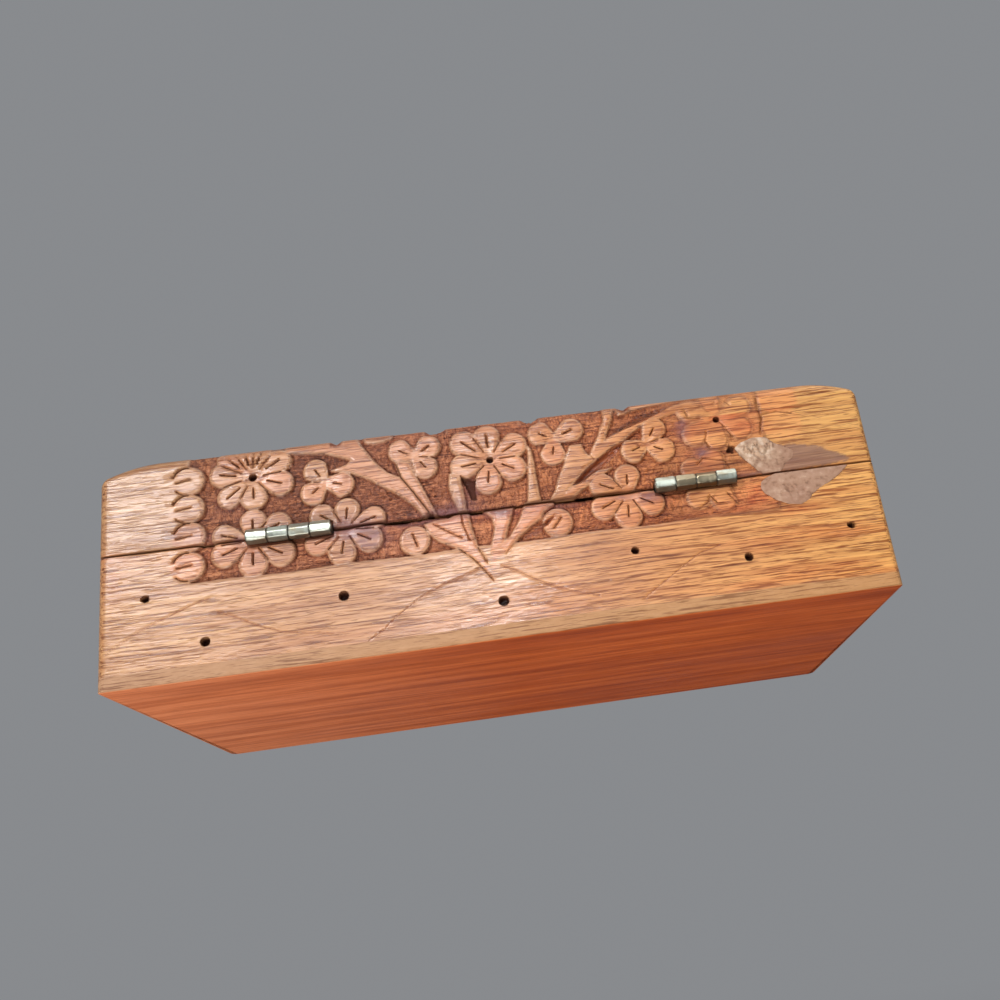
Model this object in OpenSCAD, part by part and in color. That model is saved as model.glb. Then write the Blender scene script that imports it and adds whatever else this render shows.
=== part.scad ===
// Hinged wooden rosary box with a carved flower band and a carved top.
// The photographed back face is +Y, the ends are +X and -X, and the box stands on Z = 0.
// All sizes are in millimetres.

/* [Box] */
// Length of the box from end to end
box_w = 180; // [164:1:210]
// Depth of the box from front to back
box_d = 100; // [84:1:130]
// Height of the closed box
box_h = 53.6; // [50:0.1:66]
// Height of the seam between the base and the lid
seam_z = 31; // [26:0.5:34]
// Gap at the seam with the lid down
rim_gap = 0.4; // [0.3:0.1:0.8]

/* [Boards] */
// Thickness of the front and back boards
wall_t = 10; // [9.5:0.5:14]
// Thickness of the end boards
end_t = 10; // [6:0.5:14]
// Thickness of the bottom board
bottom_t = 3.4; // [3:0.1:6]
// Thickness of the lid's top board
top_t = 6.2; // [5:0.1:8]

/* [Rounded edges] */
// Length of the shoulder that falls away at each end of the lid
shoulder_run = 14; // [9:0.5:18]
// Radius of the falling shoulder
shoulder_r = 31; // [24:1:50]
// Radius where the shoulder meets the end of the box
shoulder_end_r = 3; // [1.5:0.5:5]
// Radius of the lid's front and back top edges
top_edge_r = 3; // [1:0.5:5]
// Radius of the two upright edges at the front
front_edge_r = 4.5; // [1:0.5:7]
// Radius of the two upright edges at the back
back_edge_r = 1.8; // [0.6:0.1:5]
// Radius of the worn edges round the bottom
foot_edge_r = 0.8; // [0.3:0.1:2]

/* [Carving] */
// Depth of the ground cleared round the carving
ground_d = 1.2; // [0.6:0.1:1.8]
// How far the carved band reaches below the seam
band_drop = 9; // [6:0.5:12]
// Plain wood left at each end of a carved face
end_margin = 20.3; // [16:0.1:26]
// Radius of the scallops along the plain ends
scallop_r = 3.6; // [2.5:0.1:4.4]
// Spacing of the scallops
scallop_pitch = 7; // [6:0.1:9]
// Radius of a petal
petal_r = 3.1; // [2.4:0.1:3.6]
// Radius of the drilled eye of a flower
eye_r = 0.9; // [0.5:0.05:1.2]
// Depth of a drilled eye or of a stray template hole
eye_d = 2.4; // [1.5:0.1:3]
// Radius of a stray template hole
peg_r = 1; // [0.6:0.05:1.4]
// Width of the vee cut along a petal
vein_w = 0.9; // [0.4:0.1:1.3]
// Width of the plain strip along the front and back of the carved top
top_strip = 3.8; // [2:0.1:6]
// Width of a scoop where the top's ground runs out through that strip
scoop_w = 5; // [3:0.1:7]

/* [Hinges] */
// Length of a hinge
hinge_l = 19.2; // [17:0.1:24]
// Distance from the end of the box to the middle of a hinge
hinge_inset = 43; // [36:0.5:52]
// Width of a hinge leaf from the middle of its pin
leaf_w = 9; // [7.6:0.1:9.6]
// Thickness of the hinge's metal
leaf_t = 0.8; // [0.6:0.05:1]
// Radius of the hinge pin
pin_r = 0.95; // [0.7:0.05:1.1]
// Running clearance between the pin and a knuckle
pin_clear = 0.05; // [0.02:0.01:0.08]
// How far the pin's middle stands out from the back face
pin_out = 1.2; // [0.9:0.1:1.6]
// Number of knuckles along a hinge
knuckles = 4; // [3:1:6]
// Gap between neighbouring knuckles
knuckle_gap = 0.16; // [0.1:0.02:0.3]
// Clearance of a mortise round its hinge leaf
mortise_clear = 0.12; // [0.05:0.01:0.3]

/* [Screws] */
// Radius of a countersunk screw head
screw_head_r = 1.5; // [1.3:0.1:1.8]
// Radius of a screw's shank
screw_r = 0.7; // [0.5:0.05:0.9]
// Length of a screw under the top of its leaf
screw_l = 7; // [5:0.5:9]
// Distance between the two screws of a leaf
screw_span = 11.4; // [8:0.2:13]
// Clearance of a screw in its leaf and in the wood
screw_clear = 0.05; // [0.03:0.01:0.08]

/* [Repair] */
// Depth of the chipped places that the filler was pressed into
chip_d = 0.8; // [0.5:0.1:1.5]
// How far the filler stands out of the back face
filler_proud = 0.3; // [0.1:0.05:0.45]
// Gap round the filler
filler_gap = 0.05; // [0.03:0.01:0.1]

/* [Hidden] */
$fn = 48;

base_rim = seam_z - rim_gap / 2;
lid_rim = seam_z + rim_gap / 2;
lid_under = box_h - top_t;
half_w = box_w / 2;
half_d = box_d / 2;
field = half_w - end_margin;
barrel_r = pin_r + pin_clear + leaf_t;
axis_y = half_d + pin_out;
hinge_x = half_w - hinge_inset;
groove_r = barrel_r + 0.25;
knuckle_l = hinge_l / knuckles;
screw_y = axis_y - (leaf_w + barrel_r) / 2;
scallop_half = floor((half_d - top_strip) / scallop_pitch);
eps = 0.5;

// Flowers of the band on one side of its middle.
// Each is a share of the carved half length, a height over the seam, petals, and a turn.
band_flowers = [
    [0.79, 15.2, 8, 22.5],
    [0.795, -0.5, 6, 90],
    [0.56, 11.7, 3, 180],
    [0.24, 15.6, 3, 20],
    [0.49, -0.5, 6, 45]
];
// Buds of the band, each a place and nothing more.
band_buds = [[0.245, -5.4]];
// Leaves of the band from tip to tip, with the swell on the left and on the right.
band_leaves = [
    [0.02, -17.5, 0.235, -0.6, 1.2, 1.5],
    [0.01, -15, 0.09, -0.6, 0.8, 0.7],
    [0.2, 0, 0.46, 24, 2.2, 2.2],
    [0.22, 0.4, 0.72, 20.6, 6.4, -2.6],
    [0.2, 0, 0.3, 15, 1.2, 1.1],
    [0.115, 0, 0.125, 10.5, 1.1, 1.2],
    [0.24, 1.2, 0.41, 7.5, 1.3, 1.1]
];
// Flowers of one quarter of the top: shares of the carved half length and half depth.
top_flowers = [
    [0.74, 0.64, 8, 22.5],
    [0.42, 0.72, 6, 30],
    [0.5, 0.24, 6, 10],
    [0.16, 0.5, 3, 90]
];
// Flowers that sit on the long middle line of the top.
top_end_flowers = [[0.8, 0, 6, 0]];
top_buds = [[0.27, 0.2], [0.6, 0.9], [0.18, 0.88]];
top_leaves = [
    [0.12, 0.12, 0.36, 0.56, 3.2, -1],
    [0.17, 0.05, 0.68, 0.44, 4.2, -1.6],
    [0.06, 0.18, 0.1, 0.9, 1.4, 1.4],
    [0.3, 0.36, 0.6, 0.8, 1.6, 1.4],
    [0.62, 0.1, 0.9, 0.36, 1.7, 1.3]
];
// Scoops through the plain strips of the top, as shares of the carved half length.
top_scoops = [0.175, -0.15, -0.475, 0.51];
// Stray template holes in the back: a share of the half length and a share of the seam height.
peg_holes = [
    [0.882, 0.64], [0.739, 0.27], [0.398, 0.475], [0.006, 0.28],
    [-0.339, 0.525], [-0.623, 0.37], [-0.902, 0.51]
];
// Filler blobs: distance from the box's end, height from the seam, radius.
base_blobs = [[20.5, -4, 4.6], [24.4, -2.9, 3.3], [15.6, -2.6, 2.8], [11.4, -1.4, 2]];
lid_blobs = [[27.4, 4.9, 4.7], [23.4, 4.2, 4.2], [29, 2.5, 3.1], [18, 3.7, 3], [12.6, 4.2, 2.4]];

// Points along an arc about a centre.
function arc(c, r, a0, a1, n) = [
    for (i = [0 : n]) [c[0] + r * cos(a0 + (a1 - a0) * i / n), c[1] + r * sin(a0 + (a1 - a0) * i / n)]
];
function flipped(p) = [for (i = [len(p) - 1 : -1 : 0]) [-p[i][0], p[i][1]]];
function ring(n) = petal_r * (n > 3 ? 1.9 : 1.2);
function band_at(u, v) = [u * field, seam_z + v];
function top_at(u, v) = [u * field, v * half_d];

// End-on outline of the box: falling shoulders at the top, small rounds at the foot.
big_c = [half_w - shoulder_run, box_h - shoulder_r];
small_x = half_w - shoulder_end_r;
small_z = big_c[1] + sqrt(pow(shoulder_r - shoulder_end_r, 2) - pow(small_x - big_c[0], 2));
meet_a = atan2(small_z - big_c[1], small_x - big_c[0]);
long_half = concat(
    arc([half_w - foot_edge_r, foot_edge_r], foot_edge_r, -90, 0, 3),
    arc([small_x, small_z], shoulder_end_r, 0, meet_a, 5),
    arc(big_c, shoulder_r, meet_a, 90, 8)
);
cross_half = concat(
    arc([half_d - foot_edge_r, foot_edge_r], foot_edge_r, -90, 0, 3),
    arc([half_d - top_edge_r, box_h - top_edge_r], top_edge_r, 0, 90, 6)
);
plan_half = concat(
    arc([half_w - front_edge_r, front_edge_r - half_d], front_edge_r, -90, 0, 6),
    arc([half_w - back_edge_r, half_d - back_edge_r], back_edge_r, 0, 90, 4)
);

module both_ways() {
    children();
    mirror([1, 0, 0]) children();
}

// The worn block shape that every board is planed down to.
module envelope() {
    intersection() {
        rotate([90, 0, 0])
            linear_extrude(box_d + 2, center = true) polygon(concat(long_half, flipped(long_half)));
        rotate([90, 0, 90])
            linear_extrude(box_w + 2, center = true) polygon(concat(cross_half, flipped(cross_half)));
        linear_extrude(box_h) polygon(concat(plan_half, flipped(plan_half)));
    }
}

// A board between two corners, planed to the envelope.
module board(lo, hi) {
    intersection() {
        translate(lo) cube(hi - lo);
        envelope();
    }
}

// Carving tools. Each works in a face's own plane, with the surface at Z = 0.
module flower(at, n, turn) {
    translate(at) rotate(turn) {
        circle(r = ring(n) - petal_r / 2);
        for (i = [0 : n - 1])
            rotate(i * 360 / n) translate([ring(n), 0]) circle(r = petal_r);
    }
}

// A leaf from tip a to tip b between two arcs. A swell below zero makes a crescent.
module leaf(a, b, left, right) {
    c = norm(b - a);
    r1 = (c * c / 4 + left * left) / (2 * left);
    s = abs(right);
    r2 = (c * c / 4 + s * s) / (2 * s);
    translate(a) rotate(atan2(b[1] - a[1], b[0] - a[0])) {
        if (right > 0) {
            intersection() {
                translate([c / 2, left - r1]) circle(r = r1);
                translate([c / 2, r2 - s]) circle(r = r2);
            }
        } else {
            difference() {
                translate([c / 2, left - r1]) circle(r = r1);
                translate([c / 2, s - r2]) circle(r = r2);
            }
        }
    }
}

module flower_cuts(at, n, turn) {
    translate([at[0], at[1], 0]) rotate(turn) {
        cylinder(r = eye_r, h = 2 * eye_d, center = true);
        for (i = [0 : n - 1])
            rotate(i * 360 / n) translate([ring(n) + petal_r * 0.15, 0, 0]) vein(petal_r * 1.25);
    }
}

module vein(l) {
    s = vein_w / sqrt(2);
    rotate([45, 0, 0]) cube([l, s, s], center = true);
}

module band_motifs() {
    flower(band_at(0, 12.3), 6, 90);
    both_ways() {
        for (f = band_flowers) flower(band_at(f[0], f[1]), f[2], f[3]);
        for (b = band_buds) translate(band_at(b[0], b[1])) circle(r = petal_r + 0.3);
        for (l = band_leaves) leaf(band_at(l[0], l[1]), band_at(l[2], l[3]), l[4], l[5]);
        for (z = [seam_z - band_drop + scallop_r + 0.8 : scallop_pitch : box_h])
            translate([field, z]) circle(r = scallop_r);
    }
}

// Ground of the flower band: the field and the foot of the stems, less all that stays proud.
module band_ground() {
    difference() {
        union() {
            translate([-field, seam_z - band_drop]) square([2 * field, box_h]);
            polygon([[-9, seam_z - band_drop + eps], [9, seam_z - band_drop + eps],
                     [1.6, seam_z - 17.5], [-1.6, seam_z - 17.5]]);
        }
        band_motifs();
    }
}

module band_carving() {
    linear_extrude(2 * ground_d, center = true) band_ground();
    flower_cuts(band_at(0, 12.3), 6, 90);
    both_ways() {
        for (f = band_flowers) flower_cuts(band_at(f[0], f[1]), f[2], f[3]);
        for (b = band_buds)
            translate([b[0] * field, seam_z + b[1], 0]) rotate(60) vein(petal_r * 1.3);
    }
}

module quarters() {
    both_ways() {
        children();
        mirror([0, 1, 0]) children();
    }
}

module top_motifs() {
    flower([0, 0], 8, 22.5);
    both_ways() {
        for (f = top_end_flowers) flower(top_at(f[0], f[1]), f[2], f[3]);
        for (i = [-scallop_half : scallop_half])
            translate([field, i * scallop_pitch]) circle(r = scallop_r);
    }
    quarters() {
        for (f = top_flowers) flower(top_at(f[0], f[1]), f[2], f[3]);
        for (b = top_buds) translate(top_at(b[0], b[1])) circle(r = petal_r + 0.3);
        for (l = top_leaves) leaf(top_at(l[0], l[1]), top_at(l[2], l[3]), l[4], l[5]);
    }
}

module top_carving() {
    linear_extrude(2 * ground_d, center = true) difference() {
        union() {
            square([2 * field, box_d - 2 * top_strip], center = true);
            for (u = top_scoops) translate([u * field, 0]) square([scoop_w, box_d + 2], center = true);
        }
        top_motifs();
    }
    flower_cuts([0, 0], 8, 22.5);
    both_ways() for (f = top_end_flowers) flower_cuts(top_at(f[0], f[1]), f[2], f[3]);
    quarters() {
        for (f = top_flowers) flower_cuts(top_at(f[0], f[1]), f[2], f[3]);
        for (b = top_buds) translate([b[0] * field, b[1] * half_d, 0]) rotate(45) vein(petal_r * 1.3);
    }
}

module on_back() translate([0, half_d, 0]) rotate([90, 0, 0]) children();
module on_front() translate([0, -half_d, 0]) rotate([90, 0, 0]) children();
module on_top() translate([0, 0, box_h]) children();

// The back is carved like the front, but the mended end was never carved under its filler.
module back_carving() {
    difference() {
        on_back() band_carving();
        on_back() linear_extrude(4 * eye_d, center = true) {
            filler_shape(base_blobs, 0.8);
            filler_shape(lid_blobs, 0.8);
        }
    }
    on_back() for (p = peg_holes)
        translate([p[0] * half_w, p[1] * seam_z, 0]) cylinder(r = peg_r, h = 2 * eye_d, center = true);
}

// Filler pressed into chips near one end of the back.
module filler_shape(blobs, grow) {
    for (b = blobs) translate([b[0] - half_w, seam_z + b[1]]) circle(r = b[2] + grow);
}

module filler_pocket(blobs) {
    on_back() linear_extrude(2 * chip_d, center = true) filler_shape(blobs, filler_gap);
}

module filler(blobs, low, high) {
    intersection() {
        translate([0, half_d - chip_d, 0]) mirror([0, 1, 0]) rotate([90, 0, 0])
            linear_extrude(chip_d + filler_proud) filler_shape(blobs, 0);
        translate([-half_w, 0, low]) cube([box_w, box_d, high - low]);
    }
}

// Room in the wood for one hinge: leaf mortise, barrel groove and pilot holes.
// side is 1 for the lid, which lies over the seam, and -1 for the base.
module hinge_room(side) {
    both_ways() translate([hinge_x, 0, 0]) {
        translate([-hinge_l / 2 - mortise_clear, axis_y - leaf_w - mortise_clear,
                   seam_z + (side > 0 ? 0 : -rim_gap / 2 - leaf_t)])
            cube([hinge_l + 2 * mortise_clear, leaf_w + 2, leaf_t + rim_gap / 2]);
        translate([0, axis_y, seam_z]) rotate([0, 90, 0])
            cylinder(r = groove_r, h = hinge_l + 4 * mortise_clear, center = true);
        for (x = [-screw_span / 2, screw_span / 2]) translate([x, screw_y, seam_z])
            mirror([0, 0, side > 0 ? 0 : 1])
                cylinder(r = screw_r + screw_clear, h = screw_l + rim_gap / 2 + screw_clear);
    }
}

// One hinge leaf at X = 0, with its share of the knuckles.
module hinge_leaf(side) {
    odd = side > 0 ? 1 : 0;
    low = side > 0 ? rim_gap / 2 : -rim_gap / 2 - leaf_t;
    translate([0, axis_y, seam_z]) difference() {
        union() {
            difference() {
                translate([-hinge_l / 2, -leaf_w, low]) cube([hinge_l, leaf_w, leaf_t]);
                rotate([0, 90, 0]) cylinder(r = barrel_r + 0.12, h = hinge_l + 1, center = true);
            }
            for (i = [odd : 2 : knuckles - 1]) {
                translate([i * knuckle_l - hinge_l / 2 + knuckle_gap / 2, 0, 0]) {
                    rotate([0, 90, 0]) cylinder(r = barrel_r, h = knuckle_l - knuckle_gap);
                    translate([0, -barrel_r - 0.4, low]) cube([knuckle_l - knuckle_gap, barrel_r + 0.4, leaf_t]);
                }
            }
        }
        rotate([0, 90, 0]) cylinder(r = pin_r + pin_clear, h = hinge_l + 1, center = true);
        for (x = [-screw_span / 2, screw_span / 2])
            translate([x, screw_y - axis_y, side * rim_gap / 2]) mirror([0, 0, side > 0 ? 0 : 1])
                screw_shape(screw_clear);
    }
}

// A countersunk screw with its head level with Z = 0 and its shank going up.
module screw_shape(grow) {
    cylinder(r1 = screw_head_r + grow, r2 = screw_r + grow, h = leaf_t);
    cylinder(r = screw_r + grow, h = screw_l);
}

module hinge_screws(side) {
    for (x = [-screw_span / 2, screw_span / 2])
        translate([x, screw_y, seam_z + side * rim_gap / 2]) mirror([0, 0, side > 0 ? 0 : 1])
            difference() {
                screw_shape(0);
                rotate(x * 9) cube([3 * screw_head_r, 0.35, 0.6], center = true);
            }
}

module hinge_pin() {
    translate([0, axis_y, seam_z]) rotate([0, 90, 0]) cylinder(r = pin_r, h = hinge_l, center = true);
}

module bottom_board() {
    color("firebrick") board([-half_w, -half_d, 0], [half_w, half_d, bottom_t]);
}

module base_back_wall() {
    color("peru") difference() {
        board([-half_w, half_d - wall_t, bottom_t], [half_w, half_d, base_rim]);
        back_carving();
        hinge_room(-1);
        filler_pocket(base_blobs);
    }
}

module base_front_wall() {
    color("sandybrown") difference() {
        board([-half_w, -half_d, bottom_t], [half_w, wall_t - half_d, base_rim]);
        on_front() band_carving();
    }
}

module base_left_wall() {
    color("burlywood") board([half_w - end_t, wall_t - half_d, bottom_t], [half_w, half_d - wall_t, base_rim]);
}

module base_right_wall() {
    color("tan") board([-half_w, wall_t - half_d, bottom_t], [end_t - half_w, half_d - wall_t, base_rim]);
}

module lid_top_board() {
    color("sienna") difference() {
        board([-half_w, -half_d, lid_under], [half_w, half_d, box_h]);
        on_top() top_carving();
        back_carving();
        on_front() band_carving();
    }
}

module lid_back_rail() {
    color("chocolate") difference() {
        board([-half_w, half_d - wall_t, lid_rim], [half_w, half_d, lid_under]);
        back_carving();
        hinge_room(1);
        filler_pocket(lid_blobs);
    }
}

module lid_front_rail() {
    color("goldenrod") difference() {
        board([-half_w, -half_d, lid_rim], [half_w, wall_t - half_d, lid_under]);
        on_front() band_carving();
    }
}

module lid_left_rail() {
    color("darkkhaki") board([half_w - end_t, wall_t - half_d, lid_rim], [half_w, half_d - wall_t, lid_under]);
}

module lid_right_rail() {
    color("darkgoldenrod") board([-half_w, wall_t - half_d, lid_rim], [end_t - half_w, half_d - wall_t, lid_under]);
}

module left_hinge_base_leaf() color("silver") translate([hinge_x, 0, 0]) hinge_leaf(-1);
module right_hinge_base_leaf() color("silver") translate([-hinge_x, 0, 0]) hinge_leaf(-1);
module left_hinge_lid_leaf() color("lightsteelblue") translate([hinge_x, 0, 0]) hinge_leaf(1);
module right_hinge_lid_leaf() color("lightsteelblue") translate([-hinge_x, 0, 0]) hinge_leaf(1);
module left_hinge_pin() color("dimgray") translate([hinge_x, 0, 0]) hinge_pin();
module right_hinge_pin() color("dimgray") translate([-hinge_x, 0, 0]) hinge_pin();
module left_hinge_base_screws() color("gold") translate([hinge_x, 0, 0]) hinge_screws(-1);
module right_hinge_base_screws() color("gold") translate([-hinge_x, 0, 0]) hinge_screws(-1);
module left_hinge_lid_screws() color("gold") translate([hinge_x, 0, 0]) hinge_screws(1);
module right_hinge_lid_screws() color("gold") translate([-hinge_x, 0, 0]) hinge_screws(1);
module base_filler_patch() color("slategray") filler(base_blobs, bottom_t, base_rim);
module lid_filler_patch() color("lightslategray") filler(lid_blobs, lid_rim, lid_under);

bottom_board();
base_back_wall();
base_front_wall();
base_left_wall();
base_right_wall();
left_hinge_base_leaf();
right_hinge_base_leaf();
left_hinge_pin();
right_hinge_pin();
left_hinge_base_screws();
right_hinge_base_screws();
base_filler_patch();
lid_top_board();
lid_back_rail();
lid_front_rail();
lid_left_rail();
lid_right_rail();
left_hinge_lid_leaf();
right_hinge_lid_leaf();
left_hinge_lid_screws();
right_hinge_lid_screws();
lid_filler_patch();
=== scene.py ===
# %% [markdown]
# # A carved rosary box, built round its CAD frame
#
# The box is ten boards glued into a base and a lid, joined by two small butt hinges. The CAD model
# gives every piece its place and size. This script gives the pieces their hand-carved relief, their
# wear and their finish. It is read from top to bottom: each cell makes one thing and says what it made.
# Lengths are in millimetres until a mesh is made from them, and in metres in the materials.

# %% Load the frame
import math

import bmesh
import bpy
import numpy as np
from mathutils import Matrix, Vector, noise


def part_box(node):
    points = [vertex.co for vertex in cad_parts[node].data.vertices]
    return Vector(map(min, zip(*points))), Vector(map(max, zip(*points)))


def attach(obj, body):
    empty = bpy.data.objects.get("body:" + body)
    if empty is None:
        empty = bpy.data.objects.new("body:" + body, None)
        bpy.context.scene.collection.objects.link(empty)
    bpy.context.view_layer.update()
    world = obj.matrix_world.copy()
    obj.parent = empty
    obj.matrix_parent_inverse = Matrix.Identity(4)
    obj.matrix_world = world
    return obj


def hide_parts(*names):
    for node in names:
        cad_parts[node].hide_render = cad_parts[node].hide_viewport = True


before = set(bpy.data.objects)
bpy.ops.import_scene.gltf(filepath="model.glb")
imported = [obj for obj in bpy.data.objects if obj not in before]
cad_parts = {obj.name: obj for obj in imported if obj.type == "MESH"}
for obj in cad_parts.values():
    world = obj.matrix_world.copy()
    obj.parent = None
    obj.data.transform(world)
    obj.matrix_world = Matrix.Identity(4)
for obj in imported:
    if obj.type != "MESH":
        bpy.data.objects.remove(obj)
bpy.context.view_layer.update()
MM = 0.001


def box_mm(node):
    """Lowest and highest corner of a CAD node, in millimetres."""
    low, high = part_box(node)
    return np.array(low) / MM, np.array(high) / MM


# %% [markdown]
# ## The camera
#
# The photograph was taken from behind the box and a little below it, with a phone held slightly
# askew. The camera's place was found by fitting the box's corners, so its numbers are fixed here.
# The small sideways shift puts the picture's true centre where the cropped photograph has it.

# %% Camera
scene = bpy.context.scene
camera = bpy.data.objects.new("photo_camera", bpy.data.cameras.new("photo_camera"))
scene.collection.objects.link(camera)
camera.location = (-0.0062189, 0.2848907, -0.0571042)
camera.rotation_euler = [math.radians(a) for a in (110.46192, 8.16344, -181.20219)]
camera.data.sensor_width = 36.0
camera.data.lens = 38.888
camera.data.shift_x = -0.0971
camera.data.clip_start = 0.01
camera.data.dof.use_dof = False
scene.camera = camera
print("camera lens", round(camera.data.lens, 2), "mm")

# %% [markdown]
# ## Floor and light
#
# The box stands on a plain pale floor, but the photograph looks up at its underside. So the floor
# can be seen and casts its bounce only from above: from below it is clear, and the lamps shine
# through it. A window, a ceiling lamp, a low lamp and a pale sky, dimmer below, give the even light of
# a bright room, and a fill lights the front, which the photograph doesn't show. Two small lamps shine
# only in the varnish: they throw the photograph's two patches of glare.

# %% Floor
scene.view_settings.view_transform = "Standard"


def link_nodes(tree, kind, sockets=None, **settings):
    """Adds a node, sets its fields, and fills its inputs with values or links."""
    node = tree.nodes.new(kind)
    for key, value in settings.items():
        setattr(node, key, value)
    for key, value in (sockets or {}).items():
        if isinstance(value, bpy.types.NodeSocket):
            tree.links.new(value, node.inputs[key])
        else:
            node.inputs[key].default_value = value
    return node


def new_look(name):
    """A material whose node tree is still empty."""
    look = bpy.data.materials.new(name)
    look.use_nodes = True
    look.node_tree.nodes.clear()
    return look


bm = bmesh.new()
bmesh.ops.create_grid(bm, x_segments=1, y_segments=1, size=1.6)
floor_mesh = bpy.data.meshes.new("floor")
bm.to_mesh(floor_mesh)
bm.free()
floor = bpy.data.objects.new("floor", floor_mesh)
scene.collection.objects.link(floor)
floor_look = new_look("pale_floor")
tree = floor_look.node_tree
side = link_nodes(tree, "ShaderNodeNewGeometry").outputs["Backfacing"]
matt = link_nodes(tree, "ShaderNodeBsdfDiffuse", {"Color": (0.74, 0.73, 0.71, 1)}).outputs[0]
clear = link_nodes(tree, "ShaderNodeBsdfTransparent").outputs[0]
both = link_nodes(tree, "ShaderNodeMixShader", {0: side, 1: matt, 2: clear}).outputs[0]
link_nodes(tree, "ShaderNodeOutputMaterial", {"Surface": both})
floor_mesh.materials.append(floor_look)
floor.visible_shadow = False
floor.visible_diffuse = False
floor.visible_glossy = False
print("floor", round(floor.dimensions.x, 2), "m wide")

# %% Lamps and sky
world = bpy.data.worlds.new("pale_room")
world.use_nodes = True
sky = world.node_tree
direction = link_nodes(sky, "ShaderNodeTexCoord").outputs["Generated"]
upward = link_nodes(sky, "ShaderNodeSeparateXYZ", {"Vector": direction}).outputs["Z"]
daylight = link_nodes(sky, "ShaderNodeMapRange", {"Value": upward, "From Min": -0.75, "From Max": -0.1}).outputs[0]
below, above = (0.2, 0.17, 0.15, 1), (0.92, 0.95, 1.0, 1)
room = link_nodes(sky, "ShaderNodeMix", {0: daylight, 6: below, 7: above}, data_type="RGBA").outputs[2]
sky.links.new(room, sky.nodes["Background"].inputs["Color"])
sky.nodes["Background"].inputs["Strength"].default_value = 0.27
scene.world = world


def soft_lamp(name, place, target, size, watts, colour, diffuse=True, glare=True):
    """A rectangular lamp that faces its target. It can light the surfaces, shine in them, or both."""
    lamp = bpy.data.lights.new(name, "AREA")
    lamp.shape = "RECTANGLE"
    lamp.size, lamp.size_y = size
    lamp.energy = watts
    lamp.color = colour
    holder = bpy.data.objects.new(name, lamp)
    holder.location = place
    holder.rotation_euler = (Vector(target) - Vector(place)).to_track_quat("-Z", "Y").to_euler()
    holder.visible_diffuse, holder.visible_glossy = diffuse, glare
    scene.collection.objects.link(holder)


soft_lamp("window", (0.34, 0.72, 0.36), (0.06, 0.05, 0.04), (0.2, 0.2), 3.15, (0.97, 0.97, 1.0))
soft_lamp("far_window", (0.036, 0.74, 0.21), (0, 0.05, 0.01), (0.09, 0.06), 2.5, (0.96, 0.98, 1.0), diffuse=False)
soft_lamp("side_window", (0.311, 0.661, 0.33), (0.08, 0.05, 0.045), (0.12, 0.1), 1.5, (0.95, 0.97, 1.0), diffuse=False)
soft_lamp("ceiling", (-0.25, 0.35, 0.8), (0, 0, 0.03), (0.8, 0.8), 4.9, (1.0, 0.97, 0.94))
soft_lamp("fill", (-0.35, -0.7, 0.45), (0, 0, 0.03), (0.7, 0.5), 4.5, (1.0, 0.97, 0.94), glare=False)
soft_lamp("below", (0.16, 0.42, -0.42), (0.02, 0.02, 0.02), (0.45, 0.4), 3.4, (1.0, 0.97, 0.95))

# %% [markdown]
# ## How the carving is described
#
# The carver drew flowers and leaves on the wood, cut the ground away round them and left them at the
# old surface, then nicked a vein into each petal. The same three things describe a pattern here:
# drops (a petal is a round end that narrows to the flower's eye), shapes (a leaf's outline), and cuts
# (a vee along a short line). From them comes one number at any point, the distance to the nearest
# outline, and that number says how deep the wood is. A list of places in millimetres is easy to
# compare with the real thing, and a mesh made from it has no stray edges, which a boolean would leave.

# %% Patterns
VEIN = 0.3  # half width of a petal's vein
EYE = 1.1  # radius that each petal narrows to at the flower's eye
HOLE_DEPTH = 2.2
LEAST_REACH = 2.2  # petals that lie straight across the eye get no nick between them


def new_pattern():
    kinds = ("drops", "shapes", "cuts", "holes", "dishes", "pockets", "hollows", "scribed")
    return {kind: [] for kind in kinds}


def strokes(points, width, depth):
    """Straight vees through a row of points, as (x, z, x, z, half width, depth)."""
    return [(*a, *b, width, depth) for a, b in zip(points, points[1:])]


def arc(centre, radius, start, stop, steps=6):
    """Points of a curved stroke round a centre. Angles in degrees, 0 along +X, 90 up."""
    turns = [math.radians(start + (stop - start) * i / steps) for i in range(steps + 1)]
    return [(centre[0] + radius * math.cos(a), centre[1] + radius * math.sin(a)) for a in turns]


def spoke(eye, reach, start, stop):
    """A line from a flower's eye outwards, between two shares of its reach."""
    return [(eye[0] + share * reach[0], eye[1] + share * reach[1]) for share in (start, stop)]


def add_flower(pattern, eye, petals, drilled=0.0, crisp=True):
    """Petals are (x, z, radius). A crisp flower has a vein in each petal and a nick between neighbours."""
    ex, ez = eye
    pattern["dishes"].append((ex, ez, 2.6, 0.5 if crisp else 0.2))
    ring = sorted(petals, key=lambda p: math.atan2(p[1] - ez, p[0] - ex))
    for px, pz, radius in ring:
        pattern["drops"].append((px, pz, radius, ex, ez, EYE))
        if crisp:
            pattern["cuts"] += strokes(spoke(eye, (px - ex, pz - ez), 0.55, 1.06), VEIN, 0.6)
    for a, b in zip(ring, ring[1:] + ring[:1]) if crisp else ():
        between = ((a[0] + b[0]) / 2 - ex, (a[1] + b[1]) / 2 - ez)
        if math.hypot(*between) > LEAST_REACH:
            pattern["cuts"] += strokes(spoke(eye, between, 0.42, 1.08), VEIN, 0.5)
    if drilled:
        pattern["holes"].append((ex, ez, drilled, HOLE_DEPTH))


# %% [markdown]
# ## The back face
#
# The back is the side the photograph shows, so every petal is placed where it lies there. X runs from
# the left end of the picture (+90) to the right end (-90), and Z up from the table.

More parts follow.
